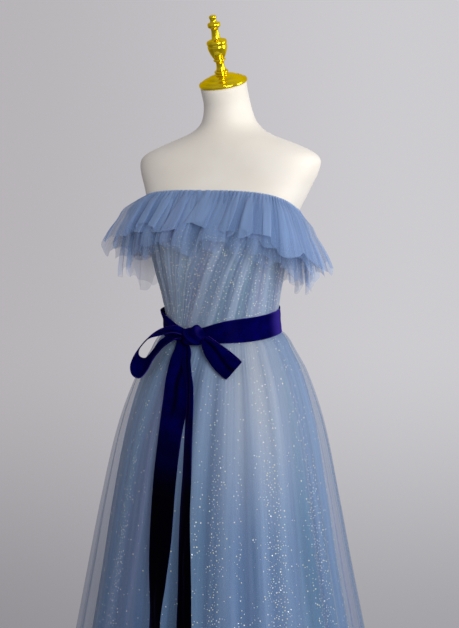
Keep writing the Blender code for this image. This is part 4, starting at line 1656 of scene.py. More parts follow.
@dataclass
class Skirt:
    """A sheer overlay over a denser glitter layer, each of a front and a back panel."""

    body: BodyShape
    finishes: Finishes
    waist_seam: float = 1.050
    waist_radius: float = 0.12
    sash_bottom: float = 1.034
    hem: float = 0.013
    hem_rise: float = 3.0 * MM
    side_gap: float = 0.15 * MM
    wall: float = 1.5 * MM
    waves: int = 24
    crease_depth: float = 0.35
    gather_depth: float = 0.6 * MM
    gather_fade: float = 0.09
    veil_spread: float = 27.0
    veil_top: float = 0.07
    veil_fall: float = 0.36
    metres_per_radian: float = 0.25
    rows: int = 84
    columns: int = 330

    UNDER = Layer(
        name="glitter_skirt",
        node="skirt_underlayer",
        slot="glitter_tulle",
        seat=1.8 * MM,
        inset=1.0,
        folds=0.26,
        crests=0.26,
        gathers=145,
        lift=8.0 * MM,
        seed=1.9,
        weave=3.0,
    )
    OVER = Layer(
        name="sheer_skirt",
        node="skirt_overlay",
        slot="skirt_tulle",
        seat=3.5 * MM,
        inset=0.0,
        folds=0.44,
        crests=0.66,
        gathers=120,
        lift=0.0,
        seed=0.4,
        weave=0.0,
    )
    SECTIONS = Table(
        "height half_width half_depth middle fold layer_gap rise",
        [
            (1.005, 0.150, 0.121, -0.004, 0.003, 0.005, 0.8),
            (0.955, 0.178, 0.155, -0.004, 0.006, 0.008, 0.5),
            (0.850, 0.214, 0.196, -0.006, 0.010, 0.014, 0.2),
            (0.700, 0.246, 0.231, -0.009, 0.013, 0.019, 0.1),
            (0.550, 0.274, 0.261, -0.009, 0.016, 0.024, 0.0),
            (0.013, 0.378, 0.368, 0.0, 0.024, 0.034, 0.0),
        ],
        true_slopes=True,
    )
    WANDER = (Ripple(0.7, 4, 0.0), Ripple(0.5, 8, 0.0))
    SWELL = (Ripple(0.22, 4, math.pi / 2),)

    VEILS = (50.0, 170.0, -80.0)
    # troughs darken and ridges lighten the colour too, as painted shade and highlight
    CREASES = (
        Crease(72, 3.2, -1.0, 0.30),
        Crease(53, 2.6, -0.45, 0.30),
        Crease(37, 5.5, -0.35, 0.20),
        Crease(-8, 4.0, -0.30, 0.25),
        Crease(-10, 4.6, -0.80, 0.44),
        Crease(-22, 9.0, -0.42, 0.10),
        Crease(46, 3.6, 0.50, 0.05),
        Crease(61, 4.2, 0.70, 0.05),
        Crease(22, 2.8, 0.25, 0.05),
        Crease(80, 5.0, 0.20, 0.10),
        Crease(118, 5.0, -0.7, 0.15),
        Crease(150, 6.0, 0.5, 0.10),
        Crease(172, 4.0, -0.8, 0.15),
        Crease(-170, 5.0, 0.4, 0.10),
        Crease(-142, 4.5, -0.7, 0.15),
        Crease(-115, 6.0, 0.5, 0.10),
        Crease(-92, 4.0, -0.6, 0.15),
        Crease(-52, 5.0, 0.5, 0.10),
    )

    def creased(self, angle: Array, fall: Array) -> Array:
        """The sum of the listed creases.

        Args:
            angle: Where, round the skirt.
            fall: How far below the waist.

        Returns:
            From the deepest trough, about -1, to the highest ridge, about 1: painted shade to highlight.
        """
        turn = np.degrees(angle)
        total = 0.0 * turn
        for crease in self.CREASES:
            away = apart(turn, crease.angle, 360) / crease.spread
            total = total + crease.size * bell(away) * smoothed((fall - crease.start) * 4 + 0.3)
        return total

    def fold_wave(self, angle: Array, height: Array, seed: float) -> Pair:
        """The folds of the cloth.

        Args:
            angle: Where, round the skirt.
            height: Where, up the skirt.
            seed: Where the drift of the folds starts.

        Returns:
            The reach from hollow (-1) to crest (1), and the crest share from 0 to 1.
        """
        down = 1.0 - height
        drift = 0.20 * np.sin(3 * angle + 2.0 * down + seed) * smoothed(down)
        phase = self.waves * angle + rippled(self.WANDER, angle) + drift
        crest = ((1 + np.cos(phase)) / 2) ** 0.72
        second = np.sin(2 * phase + 1.3 * np.sin(5 * angle + seed) + 2 * down)
        swell = 0.78 + rippled(self.SWELL, angle)
        wave = swell * (2 * crest - 1) + 0.13 * second * (1 - np.abs(2 * crest - 1))
        return np.clip(wave, -1, 1), np.clip(crest + 0.12 * second, 0, 1)

    def layer_point(self, angle: Array, height: Array, layer: Layer) -> Pair:
        """Points of one layer.

        Args:
            angle: Where, round the skirt.
            height: Where, up the skirt, before the waist's rise.
            layer: The layer's sizes.

        Returns:
            The points, and the crest share.
        """
        section = self.SECTIONS.at(height)
        fall = self.waist_seam - height
        wave, crest = self.fold_wave(angle, height, layer.seed)
        creased = self.creased(angle, fall)
        inset = layer.inset * (section["layer_gap"] + self.wall)
        small = np.cos(layer.gathers * angle + 3 * np.sin(7 * angle + layer.seed) + layer.seed)
        ripple = self.gather_depth * small * np.exp(-fall / self.gather_fade)
        trough = self.crease_depth * section["fold"] * np.clip(creased, -1, 0.3)
        fold = section["fold"] * (layer.folds * (wave - 1) + layer.crests)
        reach = fold + self.wall - inset + ripple + trough
        waist_rise = self.body.waist_rise(angle)

        def ring(turn: Array) -> Array:
            """The skirt's smooth section, through these angles."""
            x, y = ring_xy(turn, section["half_width"], section["half_depth"])
            return stacked(x, y + section["middle"], height + section["rise"] * waist_rise)

        free = ring(angle) + outward_of(ring, angle) * reach[..., None]
        at = np.maximum(height, self.sash_bottom)
        tight = self.body.wrapped(angle, at + waist_rise, layer.seat + 0.3 * ripple)
        top = self.SECTIONS.rows[0, 0]
        up = (height - top) / (self.sash_bottom - top)
        share = smoothed(up) * 0.35 + 0.65 * np.clip(up, 0, 1)
        # painted shade in the troughs and fold hollows, painted highlight on the ridges
        painted_fold_shading = np.clip(0.5 + 0.12 * (crest - 0.5) + 0.45 * creased, 0, 1)
        return mixed(free, tight, share[..., None]), painted_fold_shading

    def veiled(self, piece: Piece, angle: Array, fall: Array) -> None:
        """Writes where a pale haze lies over the top of the skirt.

        Args:
            piece: The panel.
            angle: Where its points lie, round the skirt.
            fall: How far below the waist they lie.
        """
        turn = np.degrees(angle)
        veil = sum(bell(apart(turn, middle, 360) / self.veil_spread) for middle in self.VEILS)
        veil = np.minimum(veil, 1) * (1 - smoothed((fall - self.veil_top) / self.veil_fall))
        haze = piece.data.attributes.new("haze", "FLOAT", "POINT")
        haze.data.foreach_set("value", veil.astype(np.float32).ravel())

    def panel(self, layer: Layer, side: str, start: float) -> Piece:
        """One panel of one layer.

        Args:
            layer: The layer's sizes.
            side: What its name ends with.
            start: Its first seam, as an angle.

        Returns:
            The piece.
        """
        gap = self.side_gap / self.waist_radius
        angle = np.linspace(start + gap, start + math.pi - gap, self.columns)[None, :]
        share = np.linspace(0, 1, self.rows)[:, None] ** 1.25
        height = mixed(self.waist_seam, self.hem + layer.lift, share)
        angle, height = np.broadcast_arrays(angle, height)
        points, painted_fold_shading = self.layer_point(angle, height, layer)
        uneven = 2.0 * MM * np.sin(17 * angle + layer.seed) + 1.2 * MM * np.sin(61 * angle + layer.seed)
        points[..., 2] += (uneven + self.hem_rise) * share**6
        fall = self.waist_seam - height
        cloth = stacked(angle * self.metres_per_radian + layer.weave, fall, painted_fold_shading)
        piece = surface(f"{layer.name}_{side}", points, cloth)
        self.veiled(piece, angle, fall)
        finish = self.finishes.glitter if layer is self.UNDER else self.finishes.overlay
        return finish_piece(piece, finish, layer.slot, f"{layer.node}_{side}")

    def build(self) -> dict[str, Piece]:
        """Makes the four panels.

        Returns:
            The inner layer's panels, by their side.
        """
        inner = {}
        for side, start in (("front", -math.pi / 2), ("back", math.pi / 2)):
            inner[side] = self.panel(self.UNDER, side, start)
            self.panel(self.OVER, side, start)
        return inner


# --- glitter ---


@dataclass(frozen=True)
class Streak:
    """A streak of glitter down a cloth.

    Its middle and half its width are in degrees, and its weight is how thick it lies.
    """

    angle: float
    spread: float
    weight: float


@dataclass(frozen=True)
class Sprinkle:
    """How glitter lies on one kind of cloth.

    Density is in flakes to the square metre where the weight is 1, and base is the weight between
    streaks.
    """

    slot: str
    density: float
    apart: float
    radius: float
    base: float


@dataclass
class Glitter:
    """Flakes scattered over a cloth in streaks that run down its fall."""

    finishes: Finishes
    lift: float = 0.5 * MM
    corners: int = 6
    sizes: tuple[float, float] = (0.45, 1.35)
    tilt: float = 0.3
    ripple: float = 0.8
    thin_above: float = 0.96
    thin_over: float = 0.22

    UNDER = Sprinkle("glitter_tulle", 42000.0, 4.2 * MM, 1.05 * MM, 0.075)
    BODICE = Sprinkle("bodice_tulle", 38000.0, 3.6 * MM, 0.75 * MM, 0.8)
    FRONT = (
        Streak(-31, 3.0, 1.0),
        Streak(15, 2.0, 0.2),
        Streak(25, 3.4, 0.8),
        Streak(37, 2.0, 0.3),
        Streak(55, 5.0, 0.9),
        Streak(81, 6.0, 1.0),
        Streak(-70, 5.0, 0.5),
    )
    BACK = (
        Streak(150, 6.0, 0.7),
        Streak(-150, 6.0, 0.7),
        Streak(110, 6.0, 0.6),
        Streak(-110, 6.0, 0.6),
        Streak(180, 5.0, 0.7),
    )

    def weigh(self, cloth: Piece, streaks: Sequence[Streak], base: float) -> None:
        """Writes how thick the glitter lies over a cloth, from 0 to 1.

        Args:
            cloth: The cloth.
            streaks: Its streaks.
            base: The weight elsewhere.
        """
        points = np.empty(len(cloth.data.vertices) * 3)
        cloth.data.vertices.foreach_get("co", points)
        x, y, z = points.reshape(-1, 3).T
        angle = np.degrees(np.arctan2(x, -y))
        weight = base * (1 + self.ripple * np.sin(angle * 0.9 + 2 * np.sin(z * 5)))
        low_down = mixed(0.3, 1.0, smoothed((self.thin_above - z) / self.thin_over))
        for streak in streaks:
            away = apart(angle, streak.angle, 360) / streak.spread
            weight = weight + streak.weight * low_down * bell(away)
        layer = cloth.data.attributes.new("streak", "FLOAT", "POINT")
        layer.data.foreach_set("value", np.clip(weight, 0, 1).astype(np.float32))

    def nodes(self) -> Graph:
        """The Geometry Nodes that scatter the flakes.

        Returns:
            The graph.
        """
        inputs = {"Density": "Float", "Apart": "Float", "Radius": "Float", "Lift": "Float", "Seed": "Int"}
        number = {"data_type": "FLOAT"}
        graph = Graph.growing("scatter_flakes", inputs)
        streak = graph.node("GeometryNodeInputNamedAttribute", number, {"Name": "streak"})
        spread = {
            "Mesh": graph.given("Geometry"),
            "Distance Min": graph.given("Apart"),
            "Density Max": graph.given("Density"),
            "Density Factor": streak,
            "Seed": graph.given("Seed"),
        }
        points = graph.node("GeometryNodeDistributePointsOnFaces", {"distribute_method": "POISSON"}, spread)
        spots = points.socket.node.outputs
        normal, rotation = Value(graph, spots["Normal"]), Value(graph, spots["Rotation"])
        lift = {0: normal, "Scale": graph.given("Lift")}
        offset = graph.node("ShaderNodeVectorMath", {"operation": "SCALE"}, lift)
        lifted = graph.node("GeometryNodeSetPosition", {}, {"Geometry": points, "Offset": offset})
        chance = graph.node("FunctionNodeRandomValue", number, {"Seed": 3}, 1)
        named = {"Geometry": lifted, "Name": "tint", "Value": chance}
        tinted = graph.node("GeometryNodeStoreNamedAttribute", {**number, "domain": "POINT"}, named)
        flake = {"Vertices": self.corners, "Radius": graph.given("Radius")}
        least, most = self.sizes
        size = graph.node("FunctionNodeRandomValue", number, {2: least, 3: most, "Seed": 5}, 1)
        turns = {0: (-self.tilt, -self.tilt, 0.0), 1: (self.tilt, self.tilt, math.pi), "Seed": 7}
        turn = graph.node("FunctionNodeRandomValue", {"data_type": "FLOAT_VECTOR"}, turns)
        local = {"rotation_space": "LOCAL"}
        copies = {
            "Points": tinted,
            "Instance": graph.node("GeometryNodeMeshCircle", {"fill_type": "NGON"}, flake),
            "Rotation": graph.node("FunctionNodeRotateRotation", local, [rotation, turn]),
            "Scale": size,
        }
        finish_graph(graph, graph.node("GeometryNodeInstanceOnPoints", {}, copies), self.finishes.flakes)
        return graph

    def scatter(
        self, graph: Graph, cloth: Piece, name: str, sprinkle: Sprinkle, seed: int
    ) -> None:
        """Makes the flakes of one cloth.

        Args:
            graph: The Geometry Nodes.
            cloth: The cloth, which holds its weights.
            name: The piece's name.
            sprinkle: How the flakes lie on it.
            seed: The seed of the random places.
        """
        carrier = placed(name, cloth.data.copy())
        sizes = {"Density": sprinkle.density, "Apart": sprinkle.apart, "Radius": sprinkle.radius}
        grown(carrier, graph, Lift=self.lift, Seed=seed, **sizes)
        finish_piece(carrier, self.finishes.flakes, sprinkle.slot)

    def build(self, inner: dict[str, Piece], panels: dict[str, Piece]) -> None:
        """Makes all the flakes.

        Args:
            inner: The inner layer's panels of the skirt.
            panels: The panels of the bodice.
        """
        graph = self.nodes()
        for side, streaks, seed in (("front", self.FRONT, 11), ("back", self.BACK, 12)):
            self.weigh(inner[side], streaks, self.UNDER.base)
            self.scatter(graph, inner[side], f"glitter_under_{side}", self.UNDER, seed)
        for side, seed in (("front", 21), ("left", 22), ("right", 23)):
            self.weigh(panels[side], (), self.BODICE.base)
            self.scatter(graph, panels[side], f"glitter_bodice_{side}", self.BODICE, seed)


# --- sash and bow ---


@dataclass(frozen=True)
class Strip:
    """A strip of ribbon, with one row of each array to a point of the line down its middle.

    Bow is how far its middle stands off its edges, run how far along the ribbon a point lies, and
    slant how much lower its last edge lies than its first.
    """

    middles: Array
    across: Array
    face: Array
    width: Array
    bow: Array
    run: Array
    slant: Array
    weave: float


@dataclass
class Sash:
    """The velvet sash round the waist, with its knot, two loops and two tails."""

    body: BodyShape
    skirt: Skirt
    finishes: Finishes
    top: float = 1.082
    bottom: float = 1.034
    belt_rows: int = 22
    belt_columns: int = 420
    belt_sheet: float = 1.4 * MM
    seat: float = 4.4 * MM
    wall: float = 2.2 * MM
    dip: float = 0.023
    dip_angle: float = math.radians(-12)
    dip_spread: float = math.radians(27)
    least_crease: float = 0.6 * MM
    knot_crease: float = 2.4 * MM
    knot_crease_spread: float = math.radians(42)
    belt_sway: float = 0.8 * MM
    deepest: float = 1.2 * MM
    flare: float = 6.0 * MM
    flare_angle: float = math.radians(-68)
    flare_spread: float = 0.45
    knot_size: tuple[float, float, float] = (0.046, 0.030, 0.035)
    knot_rows: int = 48
    knot_columns: int = 72
    knot_squareness: float = 0.64
    knot_x: float = -0.005
    knot_z: float = 1.048
    knot_gap: float = 0.3 * MM
    ribbon: float = 1.6 * MM
    crease_width: float = 0.15
    columns: int = 21
    tail_rows: int = 120
    tail_gap: float = 2.0 * MM
    tail_sway: float = 1.5 * MM
    tail_slant: float = 0.030
    slant_over: float = 0.10

    # where the pile is rubbed and lit as painted sheen: the middle and half the width as angles, and how
    # much
    RUBBED_PILE_AND_SHEEN = ((1.75, 0.30, 1.0), (-2.3, 0.40, 0.6), (0.55, 0.25, 0.25))
    LEFT_LOOP = (
        (-0.0229, 0.004, 0.000, 0.020, 0),
        (-0.0380, 0.013, 0.008, 0.030, 20),
        (-0.0600, 0.009, 0.014, 0.036, 24),
        (-0.0850, 0.000, 0.018, 0.040, 20),
        (-0.1100, -0.024, 0.020, 0.042, 28),
        (-0.1255, -0.047, 0.021, 0.044, 40),
        (-0.1230, -0.064, 0.022, 0.046, 52),
        (-0.1060, -0.068, 0.023, 0.046, 58),
        (-0.0890, -0.052, 0.023, 0.046, 60),
        (-0.0750, -0.031, 0.021, 0.044, 54),
        (-0.0570, -0.013, 0.015, 0.038, 40),
        (-0.0380, -0.005, 0.006, 0.030, 16),
        (-0.0229, -0.004, 0.000, 0.020, 0),
    )
    RIGHT_LOOP = (
        (0.0277, -0.003, 0.008, 0.016, 0),
        (0.0470, -0.018, 0.018, 0.034, 0),
        (0.0740, -0.038, 0.024, 0.046, 0),
        (0.0985, -0.055, 0.026, 0.049, 0),
        (0.1040, -0.059, 0.022, 0.049, 0),
        (0.0985, -0.055, 0.018, 0.049, 0),
        (0.0740, -0.038, 0.015, 0.046, 0),
        (0.0470, -0.018, 0.008, 0.032, 0),
        (0.0277, -0.003, -0.002, 0.016, 0),
    )
    LEFT_TAIL = Table(
        "height edge width turn",
        [
            (1.040, -0.0450, 0.016, 0),
            (1.020, -0.0480, 0.034, 3),
            (1.002, -0.0475, 0.046, 5),
            (0.960, -0.0405, 0.056, 5),
            (0.918, -0.0335, 0.058, 3),
            (0.860, -0.0275, 0.054, 4),
            (0.765, -0.0225, 0.054, 6),
            (0.675, -0.0160, 0.054, 9),
            (0.600, -0.0080, 0.054, 23),
            (0.530, 0.0030, 0.054, 38),
            (0.400, 0.0100, 0.054, 28),
            (0.260, 0.0140, 0.054, 10),
        ],
        true_slopes=True,
    )
    RIGHT_TAIL = Table(
        "height edge width turn",
        [
            (1.0305, -0.0330, 0.018, 8),
            (1.010, -0.0280, 0.036, 25),
            (0.985, -0.0090, 0.046, 38),
            (0.960, 0.0100, 0.054, 46),
            (0.884, 0.0280, 0.054, 45),
            (0.804, 0.0390, 0.054, 43),
            (0.726, 0.0440, 0.054, 40),
            (0.640, 0.0510, 0.054, 35),
            (0.530, 0.0600, 0.054, 30),
            (0.400, 0.0680, 0.054, 18),
            (0.300, 0.0740, 0.054, 10),
        ],
        true_slopes=True,
    )

    def belt(self) -> Piece:
        """The sash round the waist, with soft creases that run in to the knot.

        Returns:
            The piece.
        """
        angle = np.linspace(-math.pi, math.pi, self.belt_columns, endpoint=False)[None, :]
        share = np.linspace(0, 1, self.belt_rows)[:, None]
        from_knot = angle - self.dip_angle
        top = self.top - self.dip * bell(from_knot / self.dip_spread)
        height = mixed(top, self.bottom, share) + self.body.waist_rise(angle)
        crease = np.sin(math.pi * (4.2 * share + 0.5 * np.sin(2.3 * angle) + 0.25 * np.sin(5 * angle + 1)))
        depth = self.least_crease + self.knot_crease * bell(from_knot / self.knot_crease_spread)
        from_edge = np.minimum(share, 1 - share)
        rise = depth * crease * np.clip(from_edge * 9, 0, 1) * 0.5
        rise = np.maximum(rise + self.belt_sway * np.sin(3 * angle + 4 * share), -self.deepest)
        for middle, side in ((self.flare_angle, 1 - share), (self.flare_angle + math.pi, 0.7 * share)):
            rise = rise + self.flare * side * bell(apart(angle, middle) / self.flare_spread)
        points = self.body.wrapped(angle, height, self.seat + self.wall + rise)
        rubbed_pile_and_sheen = sum(bell((angle - middle) / spread) * much for middle, spread, much in self.RUBBED_PILE_AND_SHEEN)
        # painted sheen on those patches and along both edges of the sash
        rim = np.clip(1 - from_edge / 0.05, 0, 1)
        cloth = stacked(angle * 0.12, share * 0.05, 0.5 + 0.42 * rubbed_pile_and_sheen + 0.2 * rim)
        piece = surface("velvet_sash", points, cloth, ring=True)
        thicken(piece, self.belt_sheet)
        return finish_piece(piece, self.finishes.velvet, "velvet", "sash_belt")

    def knot_middle(self) -> Vector:
        """The middle of the knot, against the front of the sash."""
        front = self.body.wrapped(np.array(0.0), np.array(self.knot_z), self.seat + self.wall)
        return Vector((self.knot_x, float(front[1]) - self.knot_size[1] / 2 - self.knot_gap, self.knot_z))

    def knot(self) -> Piece:
        """The knot: the ribbon wrapped once over the middle, with creases across it.

        Returns:
            The piece.
        """
        turn = np.linspace(0, math.tau, self.knot_columns, endpoint=False)[None, :]
        lift = np.linspace(math.pi / 2, -math.pi / 2, self.knot_rows)[1:-1, None]

        def eased(value: Array) -> Array:
            """The place on a form between a ball and a block, from -0.5 to 0.5."""
            return np.sign(value) * np.abs(value) ** self.knot_squareness / 2

        x = eased(np.cos(lift) * np.sin(turn))
        y = eased(-np.cos(lift) * np.cos(turn))
        z = eased(np.sin(lift)) + 0 * turn
        grooves = np.sin(2 * math.pi * (1.5 * x + 0.7 * z + 0.30 * np.sin(4 * z + 1) + 0.30))
        dent = 1 - 0.13 * (0.5 - 0.5 * grooves) * np.cos(lift)
        ear = 0.20 * bell((x - 0.16) / 0.17) * np.clip(2 * z, 0, 1) ** 2
        middle, size = self.knot_middle(), self.knot_size
        points = stacked(
            middle.x + size[0] * x * dent,
            middle.y + size[1] * y * dent,
            middle.z + size[2] * (z * dent + ear),
        )
        # painted light and shade along the grooves, and a painted highlight on the ear
        cloth = stacked(x * 0.05, z * 0.05, 0.44 + 0.20 * grooves + 1.0 * ear)
        piece = surface("velvet_knot", points, cloth, ring=True)
        close_ends(piece)
        return finish_piece(piece, self.finishes.velvet, "velvet", "bow_knot")

    def across_ribbon(self, side: Array, run: Array) -> Pair:
        """The form of the ribbon from edge (-0.5) to edge (0.5).

        Args:
            side: Where, across it.
            run: Where, along it, in metres.

        Returns:
            How far it stands up, from 0 to 1, and how its pile catches the light, from 0 to 1.
        """
        wander = 0.16 * np.sin(run * 24 + 0.6) + 0.07 * np.sin(run * 61)
        depth = smoothed(0.5 + 0.7 * np.sin(run * 17 + 0.6))
        crease = depth * bell((side - wander) / self.crease_width)
        rim = np.clip((np.abs(side) - 0.43) / 0.07, 0, 1) * (0.5 + 0.5 * np.sin(run * 31 + 4 * side))
        return (1 - (2 * side) ** 2) * (1 - 0.7 * crease), 0.5 + 0.30 * rim - 0.38 * crease

    def laid(self, name: str, strip: Strip, node: str) -> Piece:
        """A strip of ribbon as a piece.

        Args:
            name: The piece's name.
            strip: How the ribbon lies.
            node: The node that it stands for.

        Returns:
            The piece.
        """
        side = np.linspace(-0.5, 0.5, self.columns)[None, :]
        run = strip.run[:, None]
        stand, catch = self.across_ribbon(side, run)
        width = side * strip.width[:, None]
        points = strip.middles[:, None, :] + strip.across[:, None, :] * width[..., None]
        points = points + strip.face[:, None, :] * (stand * strip.bow[:, None])[..., None]
        points[..., 2] -= strip.slant[:, None] * (side + 0.5)
        piece = surface(name, points, stacked(width + strip.weave, run, catch))
        thicken(piece, self.ribbon, 0.0)
        return finish_piece(piece, self.finishes.velvet, "velvet", node)

    def loop(
        self, name: str, stations: Rows, level: Vector, bow: float, lobes: int, node: str
    ) -> Piece:
        """One loop of the bow.

        Args:
            name: The piece's name.
            stations: Side, rise, forward, width and drop of the ribbon along the loop.
            level: The direction of its width where nothing drops.
            bow: How far its middle stands off its edges.
            lobes: 1 where the loop stays open, and 2 where its end is pressed flat.
            node: The node that it stands for.

        Returns:
            The piece.
        """
        rows = [(-float(step), *station) for step, station in enumerate(stations)]
        table = Table("height side rise forward width drop", rows)
        at = table.at(-np.linspace(0, len(rows) - 1.0, 8 * len(rows)))
        knot = self.knot_middle()
        middles = stacked(knot.x + at["side"], knot.y - at["forward"], knot.z + at["rise"])
        across = np.array([Matrix.Rotation(math.radians(drop), 3, "X") @ level for drop in at["drop"]])
        steps = np.linalg.norm(np.diff(middles, axis=0), axis=1)
        strip = Strip(
            middles=middles,
            across=across,
            face=unit(np.cross(np.gradient(middles, axis=0), across)),
            width=at["width"],
            bow=bow * np.abs(np.sin(np.linspace(0, math.pi * lobes, len(middles)))),
            run=np.concatenate([[0.0], np.cumsum(steps)]),
            slant=np.zeros(len(middles)),
            weave=0.3,
        )
        return self.laid(name, strip, node)

    def skirt_front(self, x: Array, height: Array) -> Array:
        """How far forward the crests of the overlay reach, or the sash above them.

        Args:
            x: Where, to the gown's left of the centre front.
            height: Where, up the skirt.

        Returns:
            The place, on the axis that runs to the back.
        """
        section = self.skirt.SECTIONS.at(height)
        reach = section["fold"] + self.skirt.wall
        curve = np.sqrt(1 - (x / (section["half_width"] + reach)) ** 2)
        front = section["middle"] - (section["half_depth"] + reach) * curve
        top = self.skirt.SECTIONS.rows[0, 0]
        belt = float(self.body.wrapped(np.array(0.0), np.array(self.bottom), self.seat + self.wall)[1])
        return mixed(front, belt, np.clip((height - top) / (self.bottom - top), 0, 1))

    def tail(self, name: str, table: Table, bow: float, node: str) -> Piece:
        """One tail of the bow, which hangs over the front of the skirt.

        Args:
            name: The piece's name.
            table: Where it lies at each height.
            bow: How far its middle stands off its edges.
            node: The node that it stands for.

        Returns:
            The piece.
        """
        top, foot = table.rows[0, 0], table.rows[-1, 0]
        height = np.linspace(top, foot, self.tail_rows)
        at = table.at(height)
        width, turn = at["width"], np.radians(at["turn"])
        across = stacked(np.cos(turn), -np.sin(turn), 0.0)
        face = stacked(-np.sin(turn), -np.cos(turn), 0.0)
        clear = np.full_like(height, np.inf)
        for share in np.linspace(0, 1, 5):
            step = across * (width * share)[:, None]
            front = self.skirt_front(at["edge"] + step[:, 0], height)
            clear = np.minimum(clear, front - step[:, 1])
        knot = self.knot_middle()
        free_top = self.skirt.SECTIONS.rows[0, 0]
        share = np.clip((height - free_top) / (knot.z - free_top), 0, 1)
        edge = stacked(at["edge"], mixed(clear - self.tail_gap, knot.y, share), height)
        sway = np.abs(np.sin(height * 9.0 + 1.0) * self.tail_sway * (1 - share))
        strip = Strip(
            middles=edge + across * (width / 2)[:, None] + face * sway[:, None],
            across=across,
            face=face,
            width=width,
            bow=bow * smoothed((top - height) / 0.05),
            run=top - height,
            slant=self.tail_slant * smoothed((foot + self.slant_over - height) / self.slant_over),
            weave=0.6,
        )
        return self.laid(name, strip, node)

    def build(self) -> None:
        """Makes the sash and its bow."""
        self.belt()
        self.knot()
        level, tilted = Vector((0.0, -1.0, 0.0)), Vector((0.68, 0.0, 0.733))
        self.loop("velvet_loop_left", self.LEFT_LOOP, level, 2.0 * MM, 1, "bow_loop_left")
        self.loop("velvet_loop_right", self.RIGHT_LOOP, tilted, 3.0 * MM, 2, "bow_loop_right")
        self.tail("velvet_tail_left", self.LEFT_TAIL, 3.0 * MM, "bow_tail_left")
        self.tail("velvet_tail_right", self.RIGHT_TAIL, 3.0 * MM, "bow_tail_right")


# --- studio ---


@dataclass
class Studio:
    """The pale floor, the soft lights and the camera."""

    camera_place: tuple[float, float, float] = (1.357, -2.449, 1.38)
    aim: tuple[float, float, float] = (0.0, 0.0, 1.083)
    lens: float = 77.97
    aim_left_of_middle: float = 6.5
    picture_height: float = 628.0
    floor_radius: float = 1.12
    floor_depth: float = 4 * MM
    chest: float = 1.1
    light_bounces: int = 128

    def camera(self) -> None:
        """The camera at the photograph's place."""
        data = bpy.data.cameras.new("camera")
        data.lens = self.lens
        data.sensor_width = 36.0
        data.shift_x = self.aim_left_of_middle / self.picture_height
        camera = placed("camera", data)
        camera.location = self.camera_place
        toward = Vector(self.aim) - camera.location
        camera.rotation_euler = toward.to_track_quat("-Z", "Y").to_euler()
        bpy.context.scene.camera = camera

    def floor(self) -> None:
        """A round pale floor, low enough to stay below the picture."""
        graph = Graph.shading(bpy.data.materials, "studio_floor")
        x, y, z = graph.place()
        cloudy = graph.noise(graph.vector(x, y, z), 3.0, 4.0)
        colour = graph.mix(cloudy, (0.50, 0.49, 0.50), (0.56, 0.55, 0.56))
        material = graph.principled(Base_Color=colour, Roughness=cloudy * 0.2 + 0.6)
        rim, foot = self.floor_radius, -self.floor_depth
        piece = turned("studio_floor", [(0.0, 0.0), (rim, 0.0), (rim, foot), (0.0, foot)], 96, Matrix())
        piece.data.materials.append(material)
        for face in piece.data.polygons:
            face.use_smooth = False

    def world(self) -> None:
        """A pale grey room, a little darker to the left, low down and behind the camera."""
        graph = Graph.shading(bpy.data.worlds, "studio")
        bpy.context.scene.world = graph.owner
        x, y, z = graph.parts(graph.node("ShaderNodeTexCoord", output="Generated"))
        room = graph.mix(x.ramp(-0.66, -0.34), (0.47, 0.45, 0.475), (0.61, 0.60, 0.625))
        fall = graph.mix(z.ramp(-0.36, -0.12), (0.58, 0.58, 0.59), (1.0, 1.0, 1.0))
        colour = graph.node("ShaderNodeVectorMath", {"operation": "MULTIPLY"}, [room, fall])
        light = {"Color": colour, "Strength": y.ramp(-0.3, 0.65) * 0.34 + 0.66}
        graph.node("ShaderNodeOutputWorld", {}, {"Surface": graph.node("ShaderNodeBackground", {}, light)})

    def lamp(self, name: str, place: Sequence[float], size: float, power: float, colour: Colour) -> None:
        """One soft area light aimed at the gown's chest.

        Args:
            name: Its name.
            place: Where it stands.
            size: Its width, in metres.
            power: Its power, in watts.
            colour: Its colour.
        """
        data = bpy.data.lights.new(name, "AREA")
        data.shape = "DISK"
        data.size = size
        data.energy = power
        data.color = colour
        lamp = placed(name, data)
        lamp.location = place
        toward = Vector((0.0, 0.0, self.chest)) - lamp.location
        lamp.rotation_euler = toward.to_track_quat("-Z", "Y").to_euler()

    def build(self) -> None:
        """Makes the studio."""
        self.camera()
        self.floor()
        self.world()
        self.lamp("key_light", (3.0, 1.1, 1.7), 1.7, 32.0, (1.0, 0.985, 0.96))
        self.lamp("front_light", (2.6, -2.15, 1.9), 1.8, 87.0, (1.0, 1.0, 1.0))
        bpy.context.scene.cycles.transparent_max_bounces = self.light_bounces
        bpy.context.scene.view_settings.view_transform = "Standard"


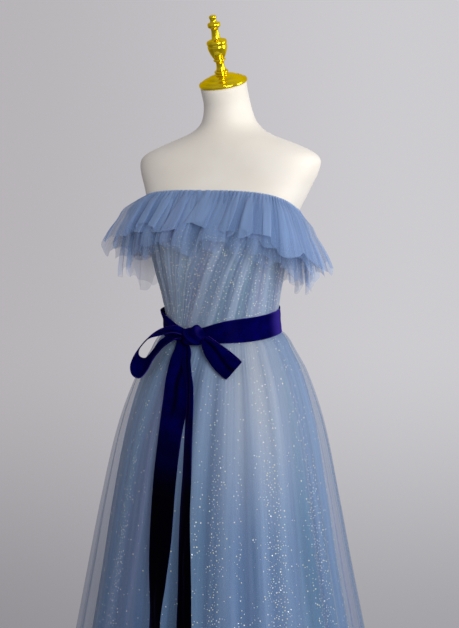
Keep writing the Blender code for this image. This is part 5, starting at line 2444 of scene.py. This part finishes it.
BODICE = ("bodice_front_cloth", "bodice_back_left_cloth", "bodice_back_right_cloth")
CUTS = (
    Cut("bodice_front_cloth", 0.460, 0.270, Held.STRETCHED, ("form_torso",)),
    Cut("bodice_back_left_cloth", 0.230, 0.190, Held.STRETCHED, ("form_torso",)),
    Cut("bodice_back_right_cloth", 0.230, 0.190, Held.STRETCHED, ("form_torso",)),
    Cut("ruffle_lower_under_leaf", 1.800, 0.155, Held.GATHERED, BODICE, 0.205),
    Cut("ruffle_lower_leaf", 1.800, 0.150, Held.GATHERED, BODICE, 0.215),
    Cut("ruffle_upper_under_leaf", 1.800, 0.105, Held.GATHERED, BODICE, 0.160),
    Cut("ruffle_upper_leaf", 1.800, 0.100, Held.GATHERED, BODICE, 0.165),
    Cut("glitter_skirt_front", 1.200, 1.040, Held.GATHERED, BODICE, 0.980),
    Cut("glitter_skirt_back", 1.200, 1.060, Held.GATHERED, BODICE, 0.990),
    Cut("sheer_skirt_front", 1.360, 1.050, Held.GATHERED, ("glitter_skirt_front",), 1.150),
    Cut("sheer_skirt_back", 1.360, 1.070, Held.GATHERED, ("glitter_skirt_back",), 1.160),
    Cut("velvet_sash", 0.780, 0.050, Held.STRETCHED, ("sheer_skirt_front", "sheer_skirt_back")),
    Cut("velvet_loop_left", 0.270, 0.046, Held.FOLDED, ("velvet_knot",)),
    Cut("velvet_loop_right", 0.190, 0.048, Held.FOLDED, ("velvet_knot",)),
    Cut("velvet_tail_left", 0.054, 0.850, Held.HUNG, ("velvet_knot", "sheer_skirt_front")),
    Cut("velvet_tail_right", 0.054, 0.770, Held.HUNG, ("velvet_knot", "sheer_skirt_front")),
)


def main() -> None:
    """Builds the gown, its form and the studio."""
    logging.basicConfig(level=logging.INFO, format="%(message)s")
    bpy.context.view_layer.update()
    finishes = Finishes()
    body = BodyShape()
    Studio().build()
    DressForm(body, finishes).build()
    panels = Bodice(body, finishes).build()
    Ruffle(body, finishes).build()
    skirt = Skirt(body, finishes)
    inner = skirt.build()
    Sash(body, skirt, finishes).build()
    Zip(body, finishes).build()
    Glitter(finishes).build(inner, panels)
    for cut in CUTS:
        cut.declare()
    log.info("sheets: %d", len(CUTS))
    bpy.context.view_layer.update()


if __name__ == "__main__":
    main()
